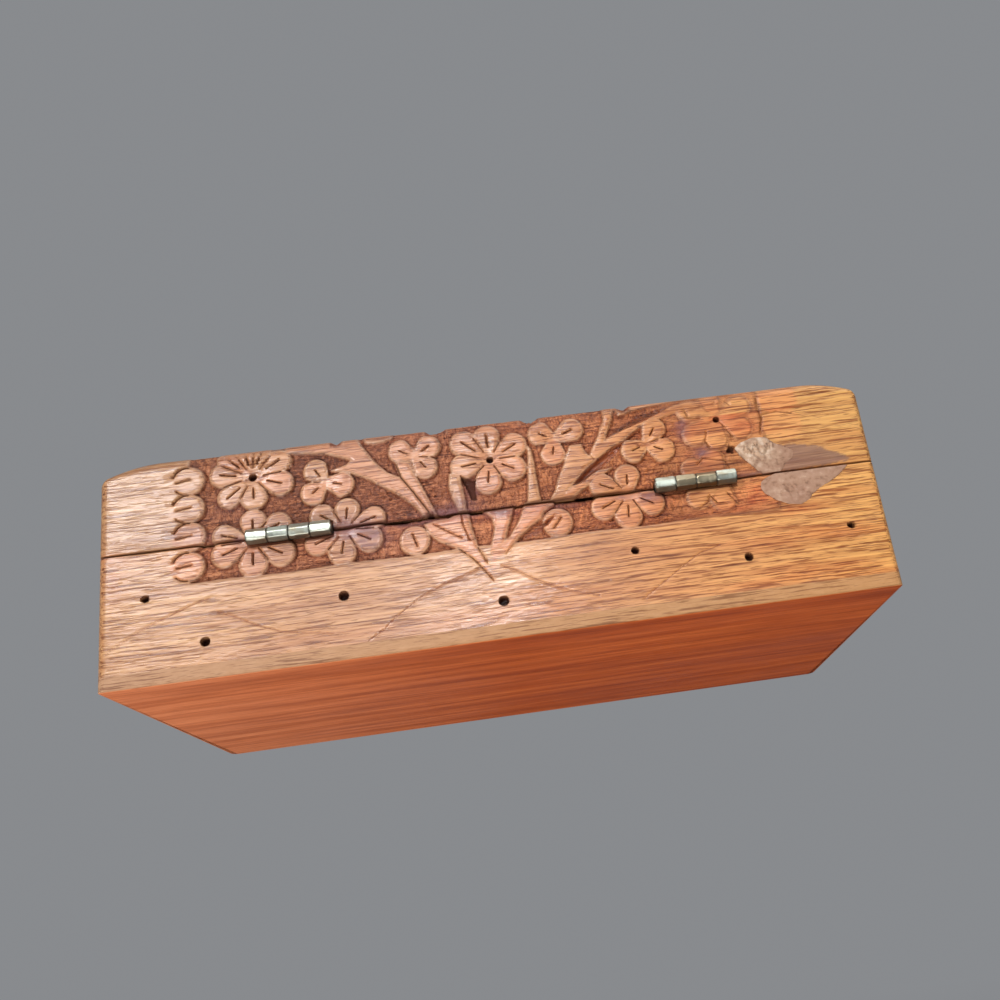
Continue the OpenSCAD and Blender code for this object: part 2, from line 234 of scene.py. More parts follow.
# %% Flowers of the back
back = new_pattern()
add_flower(back, (55.1, 46.2), [(48.9, 44, 3.1), (55, 41.3, 3.1), (60.6, 41.9, 2.7), (62, 47.6, 3.0),
                                (60.6, 51.4, 2.6), (56.6, 52, 2.4), (53, 52.2, 2.4), (49.2, 49.6, 3.1)], 0.95)
add_flower(back, (55.5, 30.6), [(55.4, 35.2, 3.0), (62, 32.6, 2.7), (61.9, 28.1, 3.1), (55.6, 25.2, 3.3),
                                (49.4, 27, 3.3), (49.8, 33.8, 3.0)])
add_flower(back, (38.6, 42.9), [(40.5, 45.8, 2.9), (41.3, 40.5, 3.0), (35, 41.9, 3.1)])
add_flower(back, (17.4, 46.6), [(20.6, 48.2, 2.9), (14.2, 48.6, 2.9), (15.2, 43.6, 2.9)])
add_flower(back, (0, 43.3), [(0.2, 49.2, 3.1), (-5.9, 46.3, 3.1), (-5.1, 40.6, 3.2),
                             (0.9, 38, 3.2), (6.2, 42.4, 3.2), (5.8, 48.2, 3.2)], 0.85)
add_flower(back, (34.6, 30.6), [(33.9, 35.2, 2.9), (39.6, 34.3, 3.0), (28, 32.6, 2.7), (29.4, 27.6, 3.2),
                                (35.6, 25.2, 3.2), (41, 28, 2.9)])
add_flower(back, (-15.6, 46.6), [(-12.6, 48.3, 3.0), (-19.8, 48.4, 3.0), (-15, 43, 3.0)])
add_flower(back, (-37.2, 42.6), [(-34, 41.2, 3.0), (-40.6, 40.6, 3.1), (-39.4, 46, 2.9)])
add_flower(back, (-31, 30.6), [(-25.3, 33.4, 2.9), (-31.4, 34.8, 3.0), (-25, 27.8, 3.0),
                               (-30.4, 25.2, 3.2), (-36.2, 27.6, 3.0)])
add_flower(back, (-54.8, 46.4), [(-49, 43.2, 3.0), (-48.6, 49.4, 2.9), (-60, 43.6, 3.0), (-53.8, 41.6, 3.0),
                                 (-60.6, 49.2, 2.9), (-54, 52, 2.7)], 0.8, crisp=False)
add_flower(back, (-53.6, 31), [(-47.4, 27.4, 3.0), (-53, 26, 3.0), (-47, 34.4, 2.8), (-52, 36, 2.9)], crisp=False)
BUD = 3.4
for bud_x, bud_z, tilt in ((19, 25.7, 75), (-13.9, 25.6, 130)):
    back["drops"].append((bud_x, bud_z, BUD, bud_x + 0.1, bud_z, BUD))
    back["cuts"] += strokes(arc((bud_x, bud_z), 1.6, tilt - 180, tilt, 1), 0.34, 0.5)
print("petals on the back:", len(back["drops"]))

# %% Leaves and stems of the back
back["shapes"] += [
    # the broad leaf to the upper left, and its long tongue along the top
    [(14.6, 31), (18.4, 37.7), (21, 41.6), (24, 43.2), (25.9, 45.2), (27.6, 47.5), (29.6, 50.8), (30.9, 54),
     (47.5, 54), (47.5, 51.3), (38.4, 50.1), (34.5, 48.6), (32.2, 47.6), (33.5, 46.5), (37, 45.5),
     (33.5, 44.6), (32.2, 44.2), (28.6, 42.3), (25.9, 40.3), (23, 38.3), (20.7, 36.3), (18.1, 33.7),
     (16.4, 31)],
    # the scrap of old surface at the top edge
    [(29.3, 54), (28.8, 51.6), (27, 51.1), (24.5, 51.3), (22.5, 52), (22.5, 54)],
    # the stem to the three-petalled flower left of the middle
    [(13.4, 31), (14.1, 32.7), (16.1, 38), (17.9, 42.3), (18.7, 45.3), (21.6, 46), (22, 44.9), (21, 41.4),
     (18.6, 37.6), (15, 31)],
    # the thin stem under the middle flower, above and below the seam
    [(8.2, 31), (8.7, 32.1), (9.7, 35), (10.2, 38), (9.8, 41), (7.6, 41), (7.4, 39.3), (7, 36.7), (6.7, 33.4),
     (6.9, 31)],
    [(16.6, 29.3), (14, 29.8), (10.8, 29.9), (8.2, 31.5), (6.4, 31.5), (5.9, 26.8), (5.1, 23.5), (4.9, 21.5),
     (3.3, 18.2), (2.3, 14), (4.2, 16.9), (6.2, 19.6), (9.2, 22.2), (10.8, 23.2), (13.8, 24.8),
     (15.8, 27)],
    # the small leaf right of the middle, under the seam
    [(3.1, 31), (1, 28.9), (0.8, 26), (2.6, 20), (-1.2, 22), (-2.1, 25.2), (-3.4, 28.4), (-4.1, 31)],
    # the right-hand leaf under the seam
    [(-6.9, 31.5), (-13.8, 31.5), (-13.4, 30.2), (-11.1, 28.8), (-10.2, 27.1), (-7.9, 25.8), (-4.9, 23.5),
     (-3.3, 21.9), (-2.3, 20.5), (1, 18.6), (2.3, 14), (2.2, 20.5), (-0.6, 22.4), (-2.6, 23.8),
     (-5.2, 27.5)],
    # the stem right of the middle flower
    [(-9.2, 45.8), (-9.9, 44.5), (-10.2, 41.6), (-10.3, 38), (-10.5, 33.4), (-10.8, 31), (-7.5, 31),
     (-7.9, 33.4), (-8.5, 38.3), (-8.9, 42)],
    # the big forked leaf to the upper right
    [(-12.6, 31), (-14.4, 33.7), (-15.4, 36.7), (-17.1, 39.6), (-18, 41.9), (-19, 44.4), (-21.8, 44.4),
     (-22.4, 42.6), (-23.3, 41.3), (-25.8, 45.5), (-27.9, 49.8), (-28.1, 54), (-30.9, 54), (-30, 50),
     (-28.5, 47), (-27.6, 44.6), (-29.5, 45.8), (-33, 48), (-37, 49.7), (-41, 50.7), (-46, 51.6),
     (-52, 52), (-52, 50.6), (-46, 49.6), (-42, 48.8), (-38, 47.8), (-35.5, 46.5), (-33.5, 45.2),
     (-32.2, 44.1), (-29, 42.8), (-25, 40), (-21, 36.8), (-18.5, 34.5), (-17, 32.6), (-16.8, 31)],
    # the plain strip over its long gouge
    [(-31.2, 54), (-31.6, 50.6), (-35, 51.6), (-40, 52.5), (-46, 53), (-60, 53.2), (-60, 54)],
    # the thin leaf that lies along the seam
    [(-13.5, 31), (-16.7, 33.2), (-19.4, 34.7), (-22.7, 36.3), (-25, 37.2), (-28.3, 37.5), (-26, 36.2),
     (-22.5, 34.0), (-20, 32.6), (-18, 31)],
]
back["cuts"] += strokes([(14.9, 31.6), (18.5, 37.7), (21, 41.6), (22.1, 45.6)], 0.3, 0.55)
back["cuts"] += strokes([(14.5, 29), (11, 26.5), (8.3, 24.8)], 0.26, 0.4)
back["cuts"] += strokes([(8, 31), (7.8, 28), (6.6, 24)], 0.26, 0.4)
back["cuts"] += strokes([(4.9, 22), (3.2, 18.2)], 0.22, 0.35)
back["cuts"] += strokes([(9.2, 22.2), (6.2, 19.4), (4.2, 16.7), (2.2, 13.8)], 0.24, 0.4)
back["cuts"] += strokes([(-3.3, 21.9), (-1.2, 19.8)], 0.22, 0.3)
back["cuts"] += strokes([(-22.9, 42.2), (-24.6, 39.9), (-21.3, 38.2)], 0.22, 0.25)
print("leaf outlines:", len(back["shapes"]))

# %% Scallops, holes and scribed lines of the back
SCALLOP = 3.4
SCALLOPS_LEFT = [(69.6, 47.2), (69.7, 40.3), (69.5, 33.4), (69.8, 26.3)]
for cx, cz in SCALLOPS_LEFT:
    back["drops"].append((cx, cz, SCALLOP, cx + 1.2, cz, 3.3))
    back["cuts"] += strokes([(72.6, cz - 0.2), (71, cz + 0.1), (69.4, cz + 0.3)], 0.4, 0.5)
    back["cuts"] += strokes(arc((cx + 0.5, cz), SCALLOP, 22, 95), 0.38, 0.62)
for cx, cz in (SCALLOPS_LEFT[0], SCALLOPS_LEFT[1], SCALLOPS_LEFT[3]):
    back["cuts"] += strokes(arc((cx + 0.5, cz), SCALLOP, -90, -42), 0.3, 0.5)
for cx, cz in ((-69.4, 50.2), (-69.2, 43)):
    back["drops"].append((cx, cz, 4.1, cx - 2, cz, 4.1))
WORN_GROOVES = [
    [(-55.3, 46), (-56.6, 44.1), (-57.9, 41.5)],
    [(-65.4, 50.6), (-65.2, 47.8), (-65.8, 45.4), (-65.1, 43.2), (-64.7, 41.2)],
    [(-66, 46.2), (-69.5, 46.6), (-73.1, 45.7)], [(-52, 43.6), (-51.2, 41.1), (-52, 39.6)],
    [(-47.6, 49.9), (-48.2, 47.7), (-51, 47.2)], [(-48.3, 35.4), (-50, 36.9), (-55, 35.6), (-55.8, 33.8)],
    [(-43.2, 27), (-44.5, 25.5), (-46.7, 24.4), (-49.4, 26), (-50, 27.6)],
    [(-54.2, 27.6), (-55.6, 25.3), (-56.4, 24.4)], [(-50, 27.6), (-51.4, 25.4), (-53.6, 25)],
    [(-58.6, 49.8), (-57.4, 51.3)], [(-55.2, 50.6), (-55.4, 52)],
]
for groove in WORN_GROOVES:
    back["cuts"] += strokes(groove, 0.36, 0.34)
for x, z, r in ((79.5, 19.9, 0.85), (66.5, 8.4, 1.1), (35.8, 14.7, 1.15), (0.5, 8.7, 1.2),
                (-30.5, 16.4, 0.9), (-56.1, 11.4, 1.0), (-81.2, 15.8, 0.85)):
    back["holes"].append((x, z, r, HOLE_DEPTH))
GOUGES = [
    [(7.4, 40.2), (5.8, 39.4), (3.7, 38.8), (4.1, 36.4), (3.8, 33.8), (5.4, 33.9), (6.1, 36.5), (7.0, 38.6)],
    [(-56.7, 39.7), (-58, 38.9), (-57.3, 37), (-55.7, 37.8)],
    [(16.0, 30.5), (15.4, 32.2), (14.4, 32.0), (13.8, 30.5)],
]
SCRIBED = [
    [(88.2, 8.2), (85, 10.4), (79, 13.5), (75, 15), (70, 17), (65.5, 18.2)],
    [(64, 15), (60, 13.1), (55, 10.5), (50, 8.5), (46, 7.6), (38.6, 6.6)],
    [(5, 16.9), (10, 15.3), (14, 14.2), (19, 12), (24, 8.7), (28, 5.5), (31, 3.8)],
    [(0, 17), (-3, 15.5), (-6, 13.5), (-10, 11.2), (-14, 9.3), (-19, 7.7), (-21, 7)],
    [(-31, 5.1), (-35, 7.6), (-40, 10.8), (-45, 13.8), (-50, 15.1)],
]
for line in SCRIBED:
    back["scribed"] += strokes(line, 0.24, 0.16)
print("template holes and eyes:", len(back["holes"]))

# %% Old stains and paste on the back
# (x, z, half width, half height, strength) of each stain
RED_BLOTS = [(-57, 47.5, 9, 2.6, 0.9), (-61.5, 44, 4, 2.4, 0.7), (-47, 47, 3.5, 4, 0.5), (-49, 38, 5, 3, 0.5),
             (-60.8, 26, 4.5, 3.2, 0.9), (-57, 23.6, 7, 1.6, 0.6), (-40, 28.5, 5, 2, 0.4),
             (-70, 21.3, 6, 1.2, 0.6), (-50, 33.6, 6, 1.5, 0.5), (-80, 14, 9, 1.6, 0.35),
             (-62, 13, 8, 1.5, 0.3), (-73, 7, 12, 1.2, 0.3), (0, 29.6, 30, 1.2, 0.45), (58, 29, 12, 1.4, 0.3),
             (87, 31, 4, 1.2, 0.5), (86, 24, 3, 5, 0.3)]
MAUVE_BLOTS = [(34, 29.2, 4, 1.8, 1.0), (29, 27.6, 4.5, 2.4, 1.0), (34, 33, 3, 1.2, 0.7),
               (8, 33, 4.5, 1.5, 0.8), (58.6, 31.2, 1.6, 1.4, 0.8), (65, 33, 5, 1.2, 0.45),
               (20, 30.2, 8, 0.9, 0.8), (6, 30.4, 6, 0.9, 0.7), (-14, 29.8, 5, 0.9, 0.6),
               (-36, 28.9, 4, 1.4, 0.8), (-30, 29.8, 4, 0.9, 0.6), (-46.3, 46, 1.4, 3.6, 0.8),
               (-50, 38.6, 2.2, 1.4, 0.8), (11, 31.8, 6, 1.3, 1.2), (-1, 29.9, 3.5, 1.2, 1.0),
               (33, 30.6, 7, 2.0, 1.4), (5, 36.5, 1.5, 3, 1.0), (-59.5, 31.6, 3, 0.8, 0.6),
               (54, 24.5, 6, 3, 0.25), (60, 40, 5, 3, 0.3)]
BASE_FILLER = [(-62.1, 27.6), (-62.4, 29), (-63.5, 29.9), (-66, 30.75), (-83.7, 30.75), (-81.1, 28.6),
               (-78.4, 27), (-75.7, 25.8), (-73.8, 24.6), (-73, 23.4), (-70.7, 22.4), (-67.8, 22.8),
               (-65, 24.3), (-62.7, 26.2)]
LID_FILLER = [(-57.8, 38.4), (-59.4, 39.6), (-62.4, 40.5), (-65.4, 40.3), (-67.3, 38.4), (-69.6, 37.4),
              (-71.5, 36), (-71, 34.2), (-69, 33), (-67.6, 31.25), (-63.4, 31.25), (-62.1, 32.2), (-60.7, 34.1),
              (-58.7, 36.4)]
back["pockets"] = [BASE_FILLER, LID_FILLER]
SMEAR = [(-68, 37.9), (-71.1, 37.9), (-74.7, 37.2), (-78.2, 36.2), (-82.4, 33.9), (-84.5, 32.7), (-83.8, 31.6),
         (-77.1, 31.2), (-66.5, 30.9), (-61.3, 30.9), (-58.8, 31.2), (-60.5, 31.9), (-63.7, 32.5),
         (-67.5, 32.9), (-68.7, 35)]
back["hollows"] = [
    [(-27.5, 44.3), (-30.2, 46.8), (-32.3, 48.3), (-34.6, 49.5), (-36.9, 50.3), (-40.5, 51.3), (-43.6, 51.7),
     (-47.2, 51.8), (-44.3, 51.1), (-42.4, 50.0), (-39.8, 49.2), (-37.8, 48.3), (-35.9, 47.7),
     (-33.0, 46.8), (-30.7, 45.9), (-28.7, 45.0)],
    [(-18, 33.7), (-20.2, 36.4), (-23.1, 39), (-26.8, 41.3), (-31.6, 43.4), (-30, 41), (-27.6, 39),
     (-24.3, 36.8), (-21, 34.6)],
    [(-4.7, 22.8), (-7.7, 24.6), (-10.8, 26.3), (-14.3, 28.1), (-12.1, 25.7), (-9.5, 23.8), (-7.1, 22.9)],
]

# %% [markdown]
# ## Distance to the outlines
#
# Each helper takes all the points at once as an array, which is why a board of eighty thousand
# vertices is carved in a few seconds. The sign is positive inside a motif.

# %% Distance helpers
def to_line(p, a, b):
    """How far along the line from a to b each point lies (0 to 1), and its offset from the line."""
    a, v = np.array(a, float), np.subtract(b, a)
    t = np.clip(((p - a) @ v) / max(v @ v, 1e-9), 0, 1)
    return t, p - a - t[:, None] * v


def inside_drop(p, drop):
    ax, az, ra, bx, bz, rb = drop
    t, offset = to_line(p, (ax, az), (bx, bz))
    return ra + (rb - ra) * t - np.linalg.norm(offset, axis=1)


def inside_shape(p, outline):
    q = np.array(outline)
    nearest, inside = np.full(len(p), 1e9), np.zeros(len(p), bool)
    for a, b in zip(q, np.roll(q, -1, axis=0)):
        nearest = np.minimum(nearest, np.linalg.norm(to_line(p, a, b)[1], axis=1))
        if a[1] != b[1]:
            crosses = (a[1] > p[:, 1]) != (b[1] > p[:, 1])
            inside ^= crosses & (p[:, 0] < a[0] + (p[:, 1] - a[1]) * (b[0] - a[0]) / (b[1] - a[1]))
    return np.where(inside, nearest, -nearest)


def near(p, xs, zs, reach):
    """Which points lie within reach of a motif's own box."""
    return np.flatnonzero((p[:, 0] > min(xs) - reach) & (p[:, 0] < max(xs) + reach)
                          & (p[:, 1] > min(zs) - reach) & (p[:, 1] < max(zs) + reach))


def inside_motifs(p, pattern):
    """Distance inside the nearest motif, and that motif's number: drops from 1, shapes from 200."""
    depth, which = np.full(len(p), -9.0), np.zeros(len(p))
    motifs = [(n, inside_drop, drop, drop[0::3], drop[1::3], 6) for n, drop in enumerate(pattern["drops"], 1)]
    motifs += [(n, inside_shape, shape, *zip(*shape), 3) for n, shape in enumerate(pattern["shapes"], 200)]
    for number, distance, motif, xs, zs, reach in motifs:
        i = near(p, xs, zs, reach)
        d = distance(p[i], motif)
        win = d > depth[i]
        depth[i[win]], which[i[win]] = d[win], number
    return depth, which


def vee_cuts(p, cuts):
    """How deep the vee cuts are at each point, and how near their middle it lies (1 in the middle)."""
    deep, core = np.zeros(len(p)), np.zeros(len(p))
    for x0, z0, x1, z1, width, depth in cuts:
        i = near(p, (x0, x1), (z0, z1), 1)
        offset = to_line(p[i], (x0, z0), (x1, z1))[1]
        close = np.clip(1 - np.linalg.norm(offset, axis=1) / width, 0, 1)
        deep[i] = np.maximum(deep[i], depth * close)
        core[i] = np.maximum(core[i], close * min(1, depth / 0.7))
    return deep, core


def smooth(a, b, v):
    """A soft step from 0 at a to 1 at b."""
    t = np.clip((v - a) / (b - a), 0, 1)
    return t * t * (3 - 2 * t)


def rough(p, sx, sz, seed, octaves=3):
    """Seeded noise for each point, about -1 to 1, with its own size along X and Z."""
    return np.array([noise.fractal(Vector((x * sx, z * sz, seed)), 0.9, 2.0, octaves) for x, z in p])


# %% [markdown]
# ## Snapping a grid to the outlines
#
# A plain grid would cut every petal's edge into steps. So before any depth is given, each grid point
# that lies close to an outline slides onto it. The edge loop then follows the petal, as a modeller
# would lay it by hand, and the walls of the relief stay crisp at a modest number of faces.

# %% Carving a field of points
def ground_of(p, pattern, field):
    """Above 0 in the cleared ground: distance to the nearest motif or to the field's edge."""
    motif, which = inside_motifs(p, pattern)
    return np.minimum(field(p), -motif), motif, which


def slide(p, distance, d):
    """The move that takes each point onto the line where a distance is 0. d is the distance now."""
    step = 0.02
    slope = np.stack([distance(p + [step, 0]) - d, distance(p + [0, step]) - d], 1) / step
    return -d[:, None] * slope / np.maximum((slope ** 2).sum(1), 0.2)[:, None]


def snap(p, pattern, field, cell):
    """Moves the points of a grid with this cell size onto outlines, vees, chips and holes nearby."""
    q, half = p.copy(), 0.5 * cell
    g = ground_of(p, pattern, field)[0]
    i = np.flatnonzero(np.abs(g) < half)
    q[i] += np.clip(slide(p[i], lambda s: ground_of(s, pattern, field)[0], g[i]), -half, half)
    for x0, z0, x1, z1, *_ in pattern["cuts"] + pattern["scribed"]:
        i = near(q, (x0, x1), (z0, z1), cell)
        offset = to_line(q[i], (x0, z0), (x1, z1))[1]
        close = np.linalg.norm(offset, axis=1) < 0.62 * cell
        q[i[close]] -= offset[close]
    for outline in pattern["pockets"]:
        i = near(q, *zip(*outline), cell)
        d = inside_shape(q[i], outline)
        close = np.abs(d) < half
        q[i[close]] += slide(q[i], lambda s: inside_shape(s, outline), d)[close]
    for x, z, r, _ in pattern["holes"]:
        v = q - [x, z]
        far = np.linalg.norm(v, axis=1)
        ring = np.abs(far - r) < half
        q[ring] = [x, z] + v[ring] / far[ring, None] * r
    return q


LIP = 0.24  # how far a motif's edge is rubbed down
LIP_WIDTH = 0.9
WALL_WIDTH = 0.45  # the steep side of the relief
HOLLOW_DEPTH = 1.5
CHIP_DEPTH = 0.7  # under the filler


def carve(p, pattern, field, depth_at, seed):
    """Depth under the old surface, and the masks that the finish reads."""
    g, motif, which = ground_of(p, pattern, field)
    tool = 0.24 * rough(p, 0.4, 0.9, seed) + 0.2 * rough(p, 1.1, 2.6, seed + 7, 2)
    tool += 0.16 * rough(p, 1.7, 0.6, seed + 9, 2)
    cleared = depth_at(p)
    lip = LIP * np.clip(cleared, 0, 1) ** 1.3
    deep = lip * (1 - np.clip(-g, 0, LIP_WIDTH) / LIP_WIDTH) ** 2
    for ex, ez, reach, sag in pattern["dishes"]:
        r2 = ((p - [ex, ez]) ** 2).sum(1) / reach ** 2
        deep += np.where(motif > 0, sag * np.exp(-r2), 0)
    deep = np.where(g > 0, lip + (cleared * (1 + tool) - lip) * smooth(0, WALL_WIDTH, g), deep)
    # core marks the middle of each vee, which the wood paints dark: painted shade in the cut.
    vee, core = vee_cuts(p, pattern["cuts"])
    no_vees = (g > 0.1) & (cleared > 0.7)
    deep = np.where(no_vees, deep, np.maximum(deep, vee + 0.5 * deep))
    core = np.where(no_vees, 0, core)
    hollow = np.zeros(len(p))
    for outline in pattern["hollows"]:
        inside = inside_shape(p, outline)
        # The hollow mask marks each scoop, which the wood paints dark: painted shade in the recess.
        hollow = np.maximum(hollow, smooth(-0.05, 0.25, inside))
        deep = np.maximum(deep, HOLLOW_DEPTH * smooth(-0.1, 1.0, inside))
    # Each hole is painted dark inside through the same mask: painted shade.
    for x, z, r, hole in pattern["holes"]:
        inside = r - np.linalg.norm(p - [x, z], axis=1)
        deep = np.maximum(deep, hole * smooth(0, 0.25, inside))
        core = np.maximum(core, smooth(-0.12, 0.1, inside))
    for outline in pattern["pockets"]:
        deep = np.maximum(deep, CHIP_DEPTH * smooth(0.02, 0.2, inside_shape(p, outline)))
    tone = np.where(motif > 0, (np.sin(which * 12.9898 + seed) * 43758.5453) % 1.0, 0.5)
    # edge is a band just inside each motif's rim: painted pale, part wear and part painted highlight, and painted dark
    # as outline shade at the worn right end.
    # foot is painted shade: a dark band on the ground at the foot of each motif's wall, as ambient occlusion.
    return deep, {"ground": smooth(-0.05, 0.4, g) * (1 - hollow), "hollow": hollow,
                  "foot": np.exp(-((g - 0.3) / 0.4) ** 2), "cut": core, "tone": tone,
                  "edge": np.exp(-((g + 0.22) / 0.26) ** 2), "band": smooth(-0.1, 0.5, np.maximum(g, motif))}


# %% [markdown]
# ## Turning a sheet of points into a board
#
# A board is one grid wrapped round it like paper round a parcel: the columns run along its length and
# the rows run round its section, so carved face, rim and inside are one closed skin. The ends are then
# filled. `create_grid` makes the sheet, and the points are moved to their place.

# %% Board builder
MASKS = ("ground", "hollow", "foot", "cut", "edge", "band", "scribe", "red", "mauve")
(_, FRONT_Y, _), (END, BACK_Y, _) = box_mm("bottom_board")
LID_UNDER, TOP_Z = (corner[2] for corner in box_mm("lid_top_board"))
pin_low, pin_high = box_mm("left_hinge_pin")
HINGE_X, PIN_Y, SEAM_Z = (pin_low + pin_high) / 2
HINGE_HALF = (pin_high[0] - pin_low[0]) / 2
leaf_low, leaf_high = box_mm("left_hinge_base_leaf")
BARREL = (leaf_high[2] - leaf_low[2]) / 2
LEAF_THICK, PLAY = 0.8, 0.12
MORTISE_X, MORTISE_Y, GROOVE_X = HINGE_HALF + PLAY, leaf_low[1] - PLAY, HINGE_HALF + 2 * PLAY
FIELD_X = 69.7  # the carved field ends here, at the middle of the scallops
FINE_X = 73.2  # the columns are fine as far as this
STILL_X = 80.0  # points past this stay on their columns on the top board


def spaced(start, stop, step):
    return list(np.linspace(start, stop, max(2, int(round(abs(stop - start) / step)) + 1)))


def board_columns(step, hinged):
    """X of the columns: fine over the carving, coarser on the plain ends, close together at the corners."""
    coarse = 0.5 if hinged else 1.2
    xs = spaced(-FINE_X, FINE_X, step) + spaced(FINE_X, END - 2, coarse) + spaced(2 - END, -FINE_X, coarse)
    for s in (-1, 1):
        xs += [s * (END - v) for v in (1.5, 1.1, 0.7, 0.4, 0.18, 0.05, 0)]
        for e in (MORTISE_X, -MORTISE_X, GROOVE_X, -GROOVE_X) if hinged else ():
            xs += [s * HINGE_X + e - 0.004, s * HINGE_X + e + 0.004]
    xs = np.array(sorted(set(np.round(xs, 4))))
    return xs[np.concatenate([[True], np.diff(xs) > 0.003])]


def finished(name, bm, sharp_angle):
    """A bmesh becomes an object at the origin, smooth except along its sharp edges."""
    mesh = bpy.data.meshes.new(name)
    bm.to_mesh(mesh)
    bm.free()
    mesh.polygons.foreach_set("use_smooth", [True] * len(mesh.polygons))
    mesh.set_sharp_from_angle(angle=math.radians(sharp_angle))
    made = bpy.data.objects.new(name, mesh)
    scene.collection.objects.link(made)
    triangles = sum(len(f.vertices) - 2 for f in mesh.polygons)
    print(name, len(mesh.vertices), "vertices,", round(triangles / 1000), "thousand triangles")
    return made


def wrapped_board(name, xs, rows, shape_points):
    """rows is a list of (y, z, ny, nz) round the section. shape_points moves the points and gives masks."""
    rows = np.array(rows + rows[:1])
    bm = bmesh.new()
    bmesh.ops.create_grid(bm, x_segments=len(xs) - 1, y_segments=len(rows) - 1, size=1.0)
    flat = np.array([v.co[:2] for v in bm.verts])
    col = np.rint((flat[:, 0] + 1) / 2 * (len(xs) - 1)).astype(int)
    row = np.rint((flat[:, 1] + 1) / 2 * (len(rows) - 1)).astype(int)
    points, masks = shape_points(xs[col], *rows[row].T)
    for key, values in masks.items():
        layer = bm.verts.layers.float.new(key)
        for v, value in zip(bm.verts, values):
            v[layer] = value
    for v, place in zip(bm.verts, points):
        v.co = place
    bmesh.ops.remove_doubles(bm, verts=bm.verts, dist=0.002)
    bmesh.ops.holes_fill(bm, edges=[e for e in bm.edges if e.is_boundary], sides=0)
    bmesh.ops.recalc_face_normals(bm, faces=bm.faces)
    bmesh.ops.scale(bm, vec=(MM, MM, MM), verts=bm.verts)
    return finished(name, bm, 40)


def corner_round(x, radius):
    """How far a face has fallen back at the rounded upright corner."""
    over = np.clip(np.abs(x) - (END - radius), 0, radius)
    return radius - np.sqrt(radius * radius - over * over)


# %% [markdown]
# ## The four long boards beside the seam
#
# The seam was opened and shut for years, so its outer edges are rubbed round and chipped here and
# there. The wear is a rounding whose radius wanders along the seam. The hinges lie in shallow
# mortises, and a groove clears each barrel.

# %% Edge wear at the seam
# (x, depth, half width) of each chip
CHIPS_LID = [(15, 0.9, 1.2), (-20, 0.8, 5), (-12, 0.4, 5), (60, 0.5, 3), (24, 0.3, 4), (-36, 0.5, 3), (-60, 0.5, 3)]
CHIPS_BASE = [(21, 0.9, 3.5), (-18.5, 1.2, 4), (36, 0.5, 2.5), (4, 0.6, 7), (-28, 0.6, 5), (-58, 0.3, 4)]


def seam_wear(x, chips, seed):
    """Radius of the rounding along the seam."""
    wear = 0.3 + 0.12 * rough(np.stack([x, x * 0], 1), 0.25, 1, seed) + 0.22 * (np.abs(x) < HINGE_X)
    for where, size, spread in chips:
        wear += size * np.exp(-((x - where) / spread) ** 2)
    return np.clip(wear * smooth(0, 12, END - np.abs(x)) + 0.14, 0.1, 1.6)


def hinge_side(x):
    """Distance along X from the middle of the nearer hinge."""
    return np.abs(np.abs(x) - HINGE_X)


def spots_at(p, spots, seed):
    """Soft blots with ragged edges."""
    amount = np.zeros(len(p))
    for x, z, wide, tall, strength in spots:
        amount = np.maximum(amount, strength * np.exp(-(((p[:, 0] - x) / wide) ** 2 + ((p[:, 1] - z) / tall) ** 2)))
    return np.clip(amount * (0.75 + 0.5 * rough(p, 0.35, 0.8, seed)) * 1.3, 0, 1)


def blank_masks(count):
    """Every mask at 0, and the tone halfway."""
    return {**{key: np.zeros(count) for key in MASKS}, "tone": np.full(count, 0.5)}


